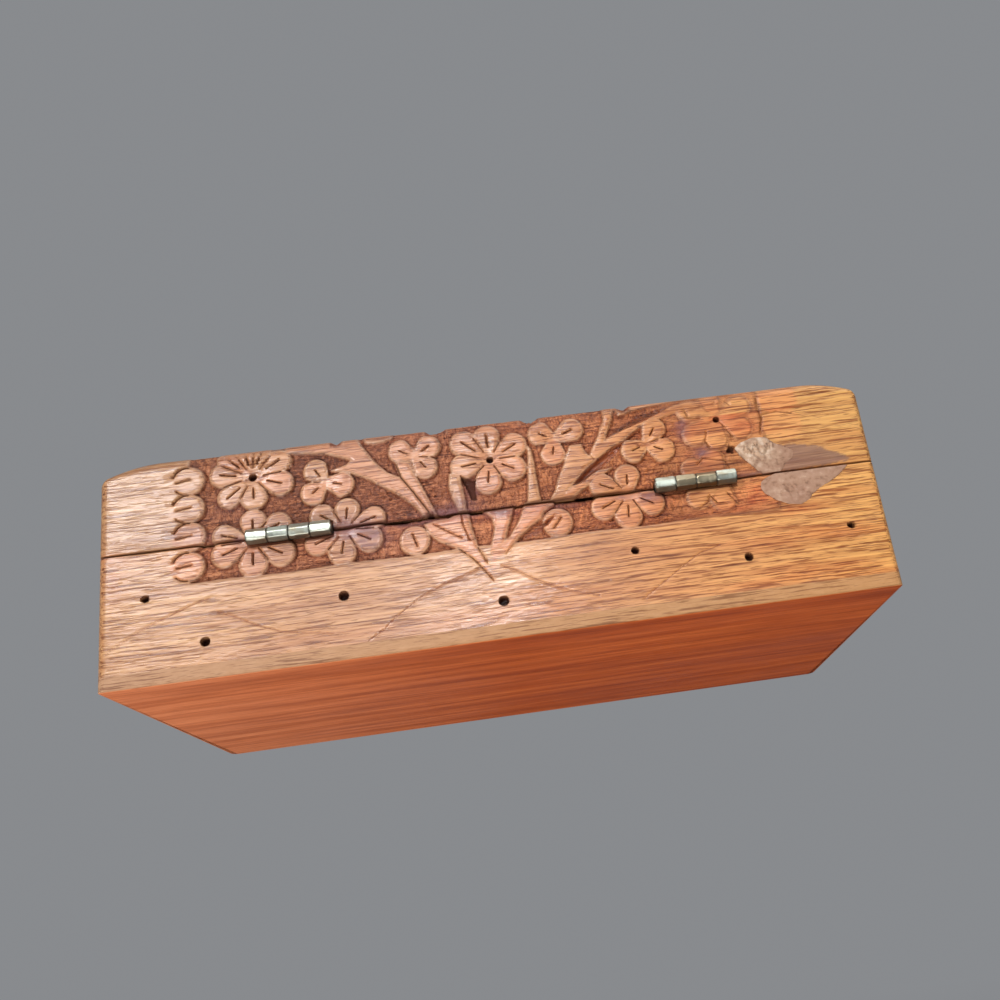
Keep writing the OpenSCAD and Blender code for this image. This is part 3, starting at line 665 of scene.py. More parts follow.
def long_board(pattern, field, depth_at, seed, cell, rim_z, outer, corner, chips, hinged):
    """Returns the function that shapes one long board's points. outer is the Y of its carved face."""
    out = 1 if outer > 0 else -1
    up = 1 if rim_z < SEAM_Z else -1

    def shape(x, y, z, ny, nz):
        face = np.flatnonzero(ny * out > 0.5)
        masks = blank_masks(len(x))
        p = np.stack([x[face], z[face]], 1)
        free = (np.abs(p[:, 1] - z[face].min()) > 1e-6) & (np.abs(p[:, 1] - z[face].max()) > 1e-6)
        free &= np.abs(p[:, 0]) < 85
        if hinged:
            free &= np.abs(hinge_side(p[:, 0]) - MORTISE_X) > 0.6
        q = np.where(free[:, None], snap(p, pattern, field, cell), p)
        deep, found = carve(q, pattern, field, depth_at, seed)
        deep += 0.045 * rough(q, 0.09, 0.3, seed + 3, 2) + 0.03
        if hinged:
            vee, core = vee_cuts(q, pattern["scribed"])
            deep += vee
            found["scribe"] = np.clip(core * 6, 0, 1)
            found["red"] = spots_at(q, RED_BLOTS, 61)
            smear = smooth(-0.2, 0.5, inside_shape(q, SMEAR) + 0.5 * rough(q, 0.8, 1.3, 79))
            found["mauve"] = np.maximum(spots_at(q, MAUVE_BLOTS, 63), smear)
            # Each gouge is painted dark through the cut mask: painted shadow in the deep gouge.
            for outline in GOUGES:
                inside = inside_shape(q, outline) + 0.2 * rough(q, 1.1, 1.1, 67)
                deep = np.maximum(deep, 1.7 * smooth(-0.1, 0.5, inside))
                found["cut"] = np.maximum(found["cut"], smooth(-0.15, 0.3, inside))
        deep = np.maximum(deep, 0)
        wear = seam_wear(q[:, 0], chips, seed)
        t = np.clip(1 - np.abs(q[:, 1] - rim_z) / wear, 0, 1)
        deep += wear * (1 - np.sqrt(np.clip(1 - t * t, 0, 1)))
        # Painted shade in the gap of the seam, darker between the hinges, carried by the cut mask.
        painted_shade = np.where(np.abs(q[:, 0]) < HINGE_X, 0.75, 0.5) * smooth(0.25, 0.95, t)
        found["cut"] = np.maximum(found["cut"], painted_shade)
        new_y = outer - out * (deep + corner_round(q[:, 0], corner))
        if hinged:
            reach = np.clip((BARREL + 0.25) ** 2 - (q[:, 1] - SEAM_Z) ** 2, 0, None)
            in_groove = (hinge_side(q[:, 0]) < GROOVE_X) & (reach > 0)
            new_y = np.where(in_groove, np.minimum(new_y, PIN_Y - np.sqrt(reach)), new_y)
            # Painted shade in the groove behind each barrel.
            found["cut"] = np.where(in_groove, np.maximum(found["cut"], 0.75), found["cut"])
        for key, value in found.items():
            masks[key][face] = value
        x[face], y[face], z[face] = q[:, 0], new_y, q[:, 1]
        rim = np.flatnonzero(np.abs(ny) < 0.5)
        rounded = np.sign(y[rim]) * (np.abs(y[rim]) - corner_round(x[rim], corner))
        y[rim] = np.where(np.abs(y[rim]) > 45, rounded, y[rim])
        if hinged:
            leaf = SEAM_Z - up * (0.2 + LEAF_THICK)
            bed = (hinge_side(x) < MORTISE_X) & (y > MORTISE_Y) & (up * (z - leaf) > 0) & (np.abs(z - SEAM_Z) < 2)
            z[bed] = leaf
        return np.stack([x, y, z], 1), masks

    return shape


def board_rows(z_rim, z_far, outer, inner, near_step, plain_from=None, plain_step=None):
    """Rows round a long board's section, starting at the far edge of its carved face."""
    out = 1 if outer > 0 else -1
    up = 1 if z_rim > z_far else -1
    edge = [z_rim - up * t for t in (1.35, 1.0, 0.72, 0.5, 0.32, 0.18, 0.08, 0)]
    plain = spaced(z_far, plain_from, plain_step)[:-1] if plain_from else []
    carved = spaced(plain_from or z_far, edge[0], near_step)[:-1]
    rim = [out * 48.2, out * (MORTISE_Y + 0.004), out * (MORTISE_Y - 0.004), inner]
    return ([(outer, z, out, 0) for z in plain + carved + edge] + [(y, z_rim, 0, up) for y in rim]
            + [(inner, z_far, -out, 0)])


def back_field(p):
    """The carved field of the back: from scallop column to scallop column, above z 22."""
    low = 22.2 + 0.04 * np.sin(p[:, 0] * 2.1) + 0.16 * np.sin(p[:, 0] * 0.23)
    return np.minimum(np.minimum(FIELD_X - p[:, 0], p[:, 0] + 65.5), p[:, 1] - low)


def back_depth(p):
    """The ground is cut deep in the left and middle, and is worn or filled up at the right."""
    worn = np.clip((-38 - p[:, 0]) / 12, 0, 1)
    return 1.15 - 0.72 * worn - 0.28 * np.clip((-56 - p[:, 0]) / 8, 0, 1)


# %% Carved long boards of the back
PLAIN_TOP = 20.6  # the rows are coarser under this
BACK_CORNER, FRONT_CORNER = 1.8, 4.5
BACK_SEED, FRONT_SEED, TOP_SEED = 11, 31, 51
low, high = box_mm("base_back_wall")
wall_in = low[1]
base_back = wrapped_board(
    "carved_base_back", board_columns(0.25, True),
    board_rows(high[2], low[2], BACK_Y, wall_in, 0.22, PLAIN_TOP, 0.25),
    long_board(back, back_field, back_depth, BACK_SEED, 0.24, high[2], BACK_Y, BACK_CORNER, CHIPS_BASE, True))
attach(base_back, "base")
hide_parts("base_back_wall")
low, high = box_mm("lid_back_rail")
lid_back = wrapped_board(
    "carved_lid_back", board_columns(0.23, True),
    board_rows(low[2], high[2], BACK_Y, wall_in, 0.22),
    long_board(back, back_field, back_depth, BACK_SEED, 0.23, low[2], BACK_Y, BACK_CORNER, CHIPS_LID, True))
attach(lid_back, "lid")
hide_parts("lid_back_rail")

# %% [markdown]
# ## The front
#
# The photograph doesn't show the front. Boxes of this kind carry the same band all round, so the
# front repeats the well kept left half of the back on both sides of its middle.

# %% Pattern of the front
front = new_pattern()
for s in (-1, 1):
    for ax, az, ra, bx, bz, rb in back["drops"]:
        if 9 < ax < 75 or abs(ax - 6) < 0.5:
            front["drops"].append((s * ax, az, ra, s * bx, bz, rb))
    for outline in back["shapes"]:
        if min(x for x, _ in outline) > 2:
            front["shapes"].append([(s * x, z) for x, z in outline])
    for x0, z0, x1, z1, width, depth in back["cuts"]:
        if x0 > 2 and x1 > 2 and min(z0, z1) > 20:
            front["cuts"].append((s * x0, z0, s * x1, z1, width, depth))
    front["holes"].append((s * 55.1, 46.2, 0.95, HOLE_DEPTH))
front["holes"].append((0, 43.3, 0.85, HOLE_DEPTH))
for x, z, radius in ((0, 49.3, 3.1), (0, 37.6, 3.2), (6, 40.8, 3.0), (-6, 40.8, 3.0)):
    front["drops"].append((x, z, radius, 0, 43.3, EYE))
print("petals on the front:", len(front["drops"]))


def front_field(p):
    low = 22.2 + 0.25 * np.sin(p[:, 0] * 1.3 + 2)
    return np.minimum(FIELD_X - np.abs(p[:, 0]), p[:, 1] - low)


def even_depth(p):
    return np.full(len(p), 1.1)


# %% Carved long boards of the front
low, high = box_mm("base_front_wall")
wall_in = high[1]
base_front = wrapped_board(
    "carved_base_front", board_columns(0.36, False),
    board_rows(high[2], low[2], FRONT_Y, wall_in, 0.33, PLAIN_TOP, 2.0),
    long_board(front, front_field, even_depth, FRONT_SEED, 0.36, high[2], FRONT_Y, FRONT_CORNER, CHIPS_BASE[3:], False))
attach(base_front, "base")
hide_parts("base_front_wall")
low, high = box_mm("lid_front_rail")
lid_front = wrapped_board(
    "carved_lid_front", board_columns(0.36, False),
    board_rows(low[2], high[2], FRONT_Y, wall_in, 0.33),
    long_board(front, front_field, even_depth, FRONT_SEED, 0.36, low[2], FRONT_Y, FRONT_CORNER, CHIPS_LID[3:], False))
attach(lid_front, "lid")
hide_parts("lid_front_rail")

# %% [markdown]
# ## The top board
#
# The top is one board whose long edges are rounded over and whose ends fall away in a soft shoulder.
# Its back and front edges carry the tops of the band's flowers. The photograph shows scoops in its
# back edge, where the ground of a carved top runs out over the edge. What the top's middle carries is
# hidden, so it repeats the band's own flowers, leaves and scallops.

# %% Pattern of the top
top = new_pattern()
SIGNS = ((1, 1), (1, -1), (-1, 1), (-1, -1))


def four_ways(x, y):
    return [(sx * x, sy * y) for sx in (-1, 1) for sy in (-1, 1)]


def ring_of_petals(cx, cy, count, reach, radius, turn):
    """Petals spread evenly round an eye. turn is the direction of the first, in degrees."""
    turns = [math.radians(turn + 360 * i / count) for i in range(count)]
    return [(cx + reach * math.cos(a), cy + reach * math.sin(a), radius) for a in turns]


add_flower(top, (0, 0), ring_of_petals(0, 0, 8, 5.9, 3.0, 22.5), 0.95)
for sx in (-1, 1):
    add_flower(top, (sx * 55.8, 0), ring_of_petals(sx * 55.8, 0, 6, 5.9, 3.1, 0), 0.9)
    for i in range(-6, 7):
        cy = 7 * i
        top["drops"].append((sx * 69.7, cy, 3.6, sx * 71.2, cy, 3.6))
        top["cuts"] += strokes([(sx * 73, cy), (sx * 69, cy + 0.2)], 0.3, 0.45)
        top["cuts"] += strokes(arc((sx * 70.1, cy), 3.7, 90 - sx * 15, 90 - sx * 50), 0.32, 0.55)
for cx, cy, count, turn in ((51.6, 32, 8, 22.5), (29.3, 36, 6, 30), (34.8, 12, 6, 10)):
    for sx, sy in SIGNS:
        add_flower(top, (sx * cx, sy * cy), ring_of_petals(sx * cx, sy * cy, count, 5.9, 3.0, turn * sx * sy), 0.9)
for x, y in four_ways(11.2, 25):
    add_flower(top, (x, y), ring_of_petals(x, y, 3, 3.7, 2.9, 90 if y > 0 else -90))
for x, y in four_ways(18.8, 10) + four_ways(41.8, 43) + four_ways(12.5, 42.5):
    top["drops"].append((x, y, 3.3, x + 0.1, y, 3.3))
    top["cuts"] += strokes([(x - 1.1, y - 1.1), (x + 1.1, y + 1.1)], 0.32, 0.5)
print("petals on the top:", len(top["drops"]))


def leaf_outline(a, b, left, right, steps=9):
    """A leaf from tip to tip with its swell on either side, as a carver draws it with two strokes."""
    a, b = np.array(a, float), np.array(b, float)
    along = b - a
    across = np.array([-along[1], along[0]]) / np.linalg.norm(along)
    there = [a + along * t + across * left * math.sin(math.pi * t) for t in np.linspace(0, 1, steps)]
    home = [a + along * t - across * right * math.sin(math.pi * t) for t in np.linspace(1, 0, steps)]
    return [tuple(v) for v in there + home[1:-1]]


for sx, sy in SIGNS:
    for x0, y0, x1, y1, left, right in ((8.4, 6, 25, 28, 3.2, -1), (11.8, 2.5, 47.4, 22, 4.2, -1.6),
                                        (4.2, 9, 7, 45, 1.4, 1.4), (20.9, 18, 41.8, 40, 1.6, 1.4),
                                        (43.2, 5, 62.7, 18, 1.7, 1.3)):
        swell = (left, right) if sx * sy > 0 else (right, left)
        top["shapes"].append(leaf_outline((sx * x0, sy * y0), (sx * x1, sy * y1), *swell))
print("leaves on the top:", len(top["shapes"]))

SCOOPS = [(12.2, 2.6), (-10.3, 2.3), (-33, 1.7), (35.6, 1.5)]


def top_field(p):
    """The carved field of the top, with scoops through the plain strip at the back and front."""
    strip = 46.2 - np.abs(p[:, 1])
    for cx, half in SCOOPS:
        strip = np.maximum(strip, half - np.abs(p[:, 0] - cx))
    return np.minimum(FIELD_X - np.abs(p[:, 0]), strip)


def top_depth(p):
    """The ground of the top is even, but a scoop through the strip is a shallow valley."""
    scoop = np.max([half - np.abs(p[:, 0] - cx) for cx, half in SCOOPS], axis=0)
    return 1.1 * np.where(np.abs(p[:, 1]) < 46, 1.0, smooth(-0.3, 1.9, scoop))


def shoulder(x):
    """Height of the top along the box: flat, then an arc, then a tighter arc at the very end."""
    a = np.abs(x)
    big = TOP_Z - 31 + np.sqrt(31 ** 2 - np.clip(a - (END - 14), 0, 14) ** 2)
    small = TOP_Z - 5.25 + np.sqrt(np.clip(9 - np.clip(a - (END - 3), 0, 3) ** 2, 0, None))
    return np.where(a > END - 1.82, small, big)


def shape_top(x, y, z, ny, nz):
    """Carves the top's face and both its long edges, each with its own pattern."""
    masks = blank_masks(len(x))
    sink_y, sink_z = np.zeros(len(x)), np.zeros(len(x))

    def take(i, found, weight):
        for key, value in found.items():
            if key == "tone":
                masks[key][i] = np.where(weight > 0.5, value, masks[key][i])
            else:
                masks[key][i] = np.maximum(masks[key][i], value * smooth(0.1, 0.6, weight))

    for out, pattern, field, depth_at, seed in ((1, back, back_field, back_depth, BACK_SEED),
                                                (-1, front, front_field, even_depth, FRONT_SEED)):
        i = np.flatnonzero(ny * out > 0.02)
        p = np.stack([x[i], z[i]], 1)
        still = (ny[i] * out < 0.99) | (z[i] < LID_UNDER + 0.01) | (np.abs(x[i]) > STILL_X)
        q = np.where(still[:, None], p, snap(p, pattern, field, 0.4))
        deep, found = carve(q, pattern, field, depth_at, seed)
        x[i], z[i] = q[:, 0], q[:, 1]
        weight = np.abs(ny[i])
        sink_y[i] = np.clip(deep, 0, HOLE_DEPTH) * weight
        take(i, found, weight)
    i = np.flatnonzero(nz > 0.02)
    p = np.stack([x[i], y[i]], 1)
    still = (nz[i] < 0.99) | (np.abs(x[i]) > STILL_X)
    q = np.where(still[:, None], p, snap(p, top, top_field, 0.42))
    deep, found = carve(q, top, top_field, top_depth, TOP_SEED)
    x[i], y[i] = q[:, 0], q[:, 1]
    sink_z[i] = deep * nz[i]
    take(i, found, nz[i])
    y = y - np.sign(ny) * sink_y
    end_y = np.where(y > 0, BACK_Y - corner_round(x, BACK_CORNER), -(FRONT_Y + corner_round(x, FRONT_CORNER)))
    y = y * end_y / BACK_Y
    z = LID_UNDER + (z - sink_z - LID_UNDER) * (shoulder(x) - LID_UNDER) / (TOP_Z - LID_UNDER)
    return np.stack([x, y, z], 1), masks


# %% Carved top board
ROUND = 3.0
edge_z = TOP_Z - ROUND


def round_over(centre_y, start):
    """Rows round a quarter circle that starts this many degrees up from +Y."""
    turns = np.radians(np.linspace(start, start + 90, 13)[1:])
    return [(centre_y + ROUND * c, edge_z + ROUND * s, c, s) for c, s in zip(np.cos(turns), np.sin(turns))]


rows = [(y, LID_UNDER, 0, -1) for y in (FRONT_Y + 2, 0, BACK_Y - 2)]
rows += [(BACK_Y, z, 1, 0) for z in spaced(LID_UNDER, edge_z, 0.29)]
rows += round_over(BACK_Y - ROUND, 0)
rows += [(y, TOP_Z, 0, 1) for y in spaced(BACK_Y - ROUND, FRONT_Y + ROUND, 0.47)[1:]]
rows += round_over(FRONT_Y + ROUND, 90)
rows += [(FRONT_Y, z, -1, 0) for z in spaced(edge_z, LID_UNDER, 0.36)[1:]]
lid_top = wrapped_board("carved_lid_top", board_columns(0.42, False), rows, shape_top)
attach(lid_top, "lid")
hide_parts("lid_top_board")

# %% [markdown]
# ## The filler
#
# Someone pressed a grey-brown paste into two chipped places beside the right hinge and left it
# lumpy. Each patch is a grid pinned to its traced outline, swollen in the middle and dabbed with
# noise, then given thickness so that it seats in its chip.

# %% Filler patches
# (x, z, radius) of the small pits in the paste
PITS = [(-68.4, 26.2, 0.5), (-70.6, 25, 0.4), (-66.8, 25.4, 0.35), (-72, 25.8, 0.35), (-69.6, 27, 0.3),
        (-67.6, 27.6, 0.3)]
FILLER_CELL, FILLER_SEAT = 0.25, 0.75


def blob(p, x, z, radius):
    return np.exp(-(((p[:, 0] - x) ** 2 + (p[:, 1] - z) ** 2) / radius ** 2))


def filler_patch(name, outline, lumps, rim_z, rim_side):
    """Lumps are (x, z, radius, height). No point goes past rim_z, the edge of the board."""
    q = np.array(outline)
    (x0, z0), (x1, z1) = q.min(axis=0) - 0.4, q.max(axis=0) + 0.4
    bm = bmesh.new()
    across, upward = int((x1 - x0) / FILLER_CELL), int((z1 - z0) / FILLER_CELL)
    bmesh.ops.create_grid(bm, x_segments=across, y_segments=upward, size=1.0)
    p = np.array([((v.co.x + 1) / 2 * (x1 - x0) + x0, (v.co.y + 1) / 2 * (z1 - z0) + z0) for v in bm.verts])
    d = inside_shape(p, outline)
    close = np.abs(d) < 0.6 * FILLER_CELL
    p[close] += slide(p, lambda s: inside_shape(s, outline), d)[close]
    d = np.where(close, 0, d)
    p[:, 1] = np.maximum(p[:, 1], rim_z) if rim_side > 0 else np.minimum(p[:, 1], rim_z)
    rise = 0.16 * smooth(0, 0.7, d) + 0.08 * rough(p, 0.5, 0.6, 71) * smooth(0, 0.8, d)
    for lx, lz, size, height in lumps:
        rise += blob(p, lx, lz, size) * height * (0.15 + 1.6 * np.abs(rough(p, 0.8, 0.8, 73)))
    for pit in PITS:
        rise -= 0.35 * blob(p, *pit)
    for v, (x, z), up in zip(bm.verts, p, np.clip(rise, -0.3, 1.1)):
        v.co = (x, BACK_Y + up - 0.02, z)
    keep = {v for v, inside in zip(bm.verts, d) if inside >= 0}
    bmesh.ops.delete(bm, geom=[f for f in bm.faces if not all(v in keep for v in f.verts)], context="FACES")
    bmesh.ops.delete(bm, geom=[v for v in bm.verts if not v.link_faces], context="VERTS")
    back_skin = bmesh.ops.extrude_face_region(bm, geom=bm.faces[:])["geom"]
    for v in (g for g in back_skin if isinstance(g, bmesh.types.BMVert)):
        v.co.y = BACK_Y - FILLER_SEAT
    bmesh.ops.recalc_face_normals(bm, faces=bm.faces)
    bmesh.ops.scale(bm, vec=(MM, MM, MM), verts=bm.verts)
    return finished(name, bm, 60)


base_filler = filler_patch("base_filler", BASE_FILLER, [(-67.5, 26.5, 2.2, 0.3), (-69.5, 25.4, 1.6, 0.25),
                                                        (-72.5, 24.9, 1.2, 0.2)], 30.75, -1)
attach(base_filler, "base")
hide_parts("base_filler_patch")
lid_filler = filler_patch("lid_filler", LID_FILLER, [(-62.8, 37.4, 2.0, 1.4), (-60.2, 37.8, 1.2, 1.0),
                                                     (-65.8, 38.2, 1.4, 1.0), (-65.6, 34.4, 1.8, 0.7),
                                                     (-61.8, 34.6, 1.2, 0.8)], 31.25, 1)
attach(lid_filler, "lid")
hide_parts("lid_filler_patch")

# %% [markdown]
# ## The hinges
#
# A small butt hinge is two leaves of thin plate whose edges are rolled into knuckles round a pin.
# These were hammered home: each knuckle is dented and its ends are rounded over. The CAD leaves have
# the right plates and screw holes, so a copy of each is sliced finely along the pin, and only the skin
# of its knuckles is pushed in towards the pin. Nothing grows past the CAD.

# %% Dented hinge leaves
KNUCKLE = HINGE_HALF / 2
FACETS = [(38, 0.2), (-14, 0.16), (-66, 0.14)]  # (direction in degrees, depth) of the hammered flats


def dented_leaf(name, node, middle, seed):
    """A copy of a CAD leaf whose knuckles are dented. middle is the X of the hinge's middle."""
    bm = bmesh.new()
    bm.from_mesh(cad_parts[node].data)
    bmesh.ops.remove_doubles(bm, verts=bm.verts, dist=1e-6)
    for x in np.arange(middle - HINGE_HALF + 0.2, middle + HINGE_HALF, 0.3):
        everything = bm.verts[:] + bm.edges[:] + bm.faces[:]
        bmesh.ops.bisect_plane(bm, geom=everything, plane_co=(x * MM, 0, 0), plane_no=(1, 0, 0))
    painted_shade, brassy = bm.verts.layers.float.new("painted_shade"), bm.verts.layers.float.new("brassy")
    for v in bm.verts:
        along = v.co.x / MM - middle + HINGE_HALF
        dy, dz = v.co.y / MM - PIN_Y, v.co.z / MM - SEAM_Z
        radius = math.hypot(dy, dz)
        to_end = abs(along - round(along / KNUCKLE) * KNUCKLE)
        # Painted shade: dark where two knuckles meet.
        v[painted_shade] = max(0, 1 - to_end / 0.4)
        v[brassy] = 0.85 if middle < 0 and abs(along - 2 * KNUCKLE) < KNUCKLE else 0.1
        # Off the barrel, the plates and the bore get a little painted shade.
        if abs(radius - BARREL) > 0.03:
            v[painted_shade] = max(v[painted_shade], 0.4)
            continue
        angle = math.atan2(dz, dy)
        # Painted shade: darker towards the underside of the barrel.
        v[painted_shade] = max(v[painted_shade], 0.35 + 0.3 * min(1, max(0, (-angle - 0.1) / 0.8)))
        blow = noise.noise(Vector((along * 0.35, angle * 0.9, seed)))
        push = 0.03 + 0.2 * max(0, blow) + 0.18 * max(0, 1 - to_end / 0.45) ** 2
        for facing, depth in FACETS:
            lean = math.radians(facing + 9 * math.sin(seed + 2.3 * int(along / KNUCKLE) + 0.1 * facing))
            flat = (BARREL - depth) / max(math.cos(angle - lean), 0.2)
            push = max(push, BARREL - flat + 0.03)
        v.co.y = (PIN_Y + dy * (1 - push / radius)) * MM
        v.co.z = (SEAM_Z + dz * (1 - push / radius)) * MM
    return finished(name, bm, 38)


hinge_leaves = []
for side, middle, seed in (("left", HINGE_X, 3.0), ("right", -HINGE_X, 8.0)):
    for body in ("base", "lid"):
        node = side + "_hinge_" + body + "_leaf"
        piece = dented_leaf(side + "_dented_" + body + "_leaf", node, middle, seed)
        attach(piece, body)
        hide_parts(node)
        hinge_leaves.append(piece)

# %% [markdown]
# ## Finishes
#
# Wood grain is a pattern stretched along the board: wide soft bands, fine streaks, and short dark
# pores. One node group makes all three from Object coordinates, so each board's grain runs its own
# way by turning the coordinates first.

# %% A short word for each kind of node
class Paint:
    """The nodes of one material or group. Every word adds a node and gives back its output."""

    def __init__(self, tree):
        self.tree = tree

    def node(self, kind, sockets=None, **settings):
        return link_nodes(self.tree, kind, sockets, **settings)

    def vector(self, operation, a, b):
        return self.node("ShaderNodeVectorMath", {0: a, 1: b}, operation=operation).outputs[0]

    def noise(self, vector, scale, detail, roughness, seed, distortion=0.0):
        """Noise whose grain is scale[i] features per metre along each axis."""
        sized = self.vector("MULTIPLY", vector, scale)
        moved = self.vector("ADD", sized, (seed, seed * 0.7, seed * 1.3))
        return self.node("ShaderNodeTexNoise", {"Vector": moved, "Scale": 1.0, "Detail": detail, "Roughness": roughness,
                                                "Distortion": distortion}).outputs["Fac"]

    def ranged(self, value, low, high, to_low=0.0, to_high=1.0):
        """A value carried from one range to another, and held at its ends."""
        return self.node("ShaderNodeMapRange", {"Value": value, "From Min": low, "From Max": high,
                                                "To Min": to_low, "To Max": to_high}).outputs["Result"]

    def maths(self, operation, a, b):
        return self.node("ShaderNodeMath", {0: a, 1: b}, operation=operation).outputs[0]

    def times(self, a, b):
        return self.maths("MULTIPLY", a, b)

    def mixed(self, kind, amount, a, b):
        a, b = ((*c, 1) if isinstance(c, tuple) else c for c in (a, b))
        return self.node("ShaderNodeMix", {0: amount, 6: a, 7: b}, data_type="RGBA", blend_type=kind).outputs[2]

    def cover(self, colour, amount, over):
        """Lays another colour over this one."""
        return self.mixed("MIX", amount, colour, over)

    def stain(self, colour, amount, tint):
        """Multiplies a colour by a tint."""
        return self.mixed("MULTIPLY", amount, colour, tint)

    def ramp(self, value, *stops):
        node = self.node("ShaderNodeValToRGB", {"Fac": value})
        while len(node.color_ramp.elements) < len(stops):
            node.color_ramp.elements.new(0.5)
        for element, (place, colour) in zip(node.color_ramp.elements, stops):
            element.position = place
            element.color = (*colour, 1)
        return node.outputs["Color"]

    def mask(self, name):
        """A value that the carving stored on the vertices."""
        return self.node("ShaderNodeAttribute", attribute_name=name).outputs["Fac"]

    def split(self, vector):
        return self.node("ShaderNodeSeparateXYZ", {"Vector": vector}).outputs

    def group(self, group, **sockets):
        return self.node("ShaderNodeGroup", sockets, node_tree=group).outputs

    def bump(self, height, strength, distance):
        return self.node("ShaderNodeBump", {"Strength": strength, "Distance": distance, "Height": height}).outputs[0]

    def skin(self, colour, roughness, normal, **more):
        """The surface itself. Other sockets are named with _ for each space."""
        sockets = {"Base Color": colour, "Roughness": roughness, "Normal": normal}
        sockets.update({key.replace("_", " "): value for key, value in more.items()})
        shader = self.node("ShaderNodeBsdfPrincipled", sockets).outputs[0]
        self.node("ShaderNodeOutputMaterial", {"Surface": shader})


def painted_look(name):
    """A new material, its Paint, and its Object coordinates."""
    look = new_look(name)
    paint = Paint(look.node_tree)
    return look, paint, paint.node("ShaderNodeTexCoord").outputs["Object"]


def new_group(name, outputs, seeded=False):
    """A group that reads a vector, and a seed if asked. outputs is a list of (name, kind of socket)."""
    group = bpy.data.node_groups.new(name, "ShaderNodeTree")
    group.interface.new_socket("Vector", in_out="INPUT", socket_type="NodeSocketVector")
    if seeded:
        group.interface.new_socket("Seed", in_out="INPUT", socket_type="NodeSocketFloat")
    for label, kind in outputs:
        group.interface.new_socket(label, in_out="OUTPUT", socket_type=kind)
    paint = Paint(group)
    return group, paint, paint.node("NodeGroupInput").outputs


# %% Grain group
grain, g, given = new_group("wood_grain", [(label, "NodeSocketFloat") for label in ("Bands", "Streaks", "Pores")], True)
offset = g.node("ShaderNodeCombineXYZ", {"X": given["Seed"]}).outputs[0]
seeded = g.vector("ADD", given["Vector"], offset)
wander = g.times(g.maths("SUBTRACT", g.noise(seeded, (8, 16, 16), 2, 0.5, 3.1), 0.5), 0.005)
bend = g.node("ShaderNodeVectorMath", {0: (0, 1, 1), "Scale": wander}, operation="SCALE").outputs[0]
bent = g.vector("ADD", seeded, bend)
long_pores = g.ranged(g.noise(bent, (85, 2300, 2300), 2, 0.5, 9.1), 0.57, 0.64)
short_pores = g.ranged(g.noise(bent, (230, 3900, 3900), 2, 0.5, 4.7), 0.58, 0.66)
g.node("NodeGroupOutput", {"Bands": g.ranged(g.noise(bent, (5, 170, 170), 4, 0.6, 1.7), 0.32, 0.68),
                           "Streaks": g.ranged(g.noise(bent, (42, 1400, 1400), 4, 0.66, 5.3), 0.34, 0.66),
                           "Pores": g.maths("MAXIMUM", long_pores, g.times(short_pores, 0.75))})
print("group", grain.name, "with", len(grain.nodes), "nodes")

# %% [markdown]
# ## Wood
#
# The oiled wood is golden tan with darker streaks, paler at the left and more orange towards the
# right end. The cleared ground kept its red-brown stain. Painted shade darkens the foot of each
# motif's wall, the scooped hollows, the cuts, holes, gouges and the seam, and the motifs' rims carry
# a painted highlight. The masks that the carving stored on the vertices say where each colour goes.

# %% Rubbed foot group
rubbing, g, given = new_group("rubbed_foot", [("Colour", "NodeSocketColor"), ("Mask", "NodeSocketFloat")])
mottle = g.noise(given["Vector"], (300, 300, 900), 5, 0.7, 4.4)
ragged = g.times(g.noise(given["Vector"], (40, 40, 300), 4, 0.7, 7.7), 0.006)
ragged = g.maths("ADD", g.split(given["Vector"])["Z"], ragged)
g.node("NodeGroupOutput", {
    "Colour": g.ramp(mottle, (0.32, (0.24, 0.13, 0.08)), (0.48, (0.36, 0.21, 0.125)), (0.66, (0.44, 0.28, 0.175))),
    "Mask": g.ranged(ragged, 0.0078, 0.0046)})


# %% Wood material
RIGHT_END, LEFT_END = -0.085, 0.085
CUT_SHADE = (0.075, 0.026, 0.017)  # painted shade in the cuts, holes, gouges, the seam and the hinge grooves
DARK_RED = (0.24, 0.075, 0.05)
WORN_RIM_HIGHLIGHT = (0.7, 0.48, 0.33)


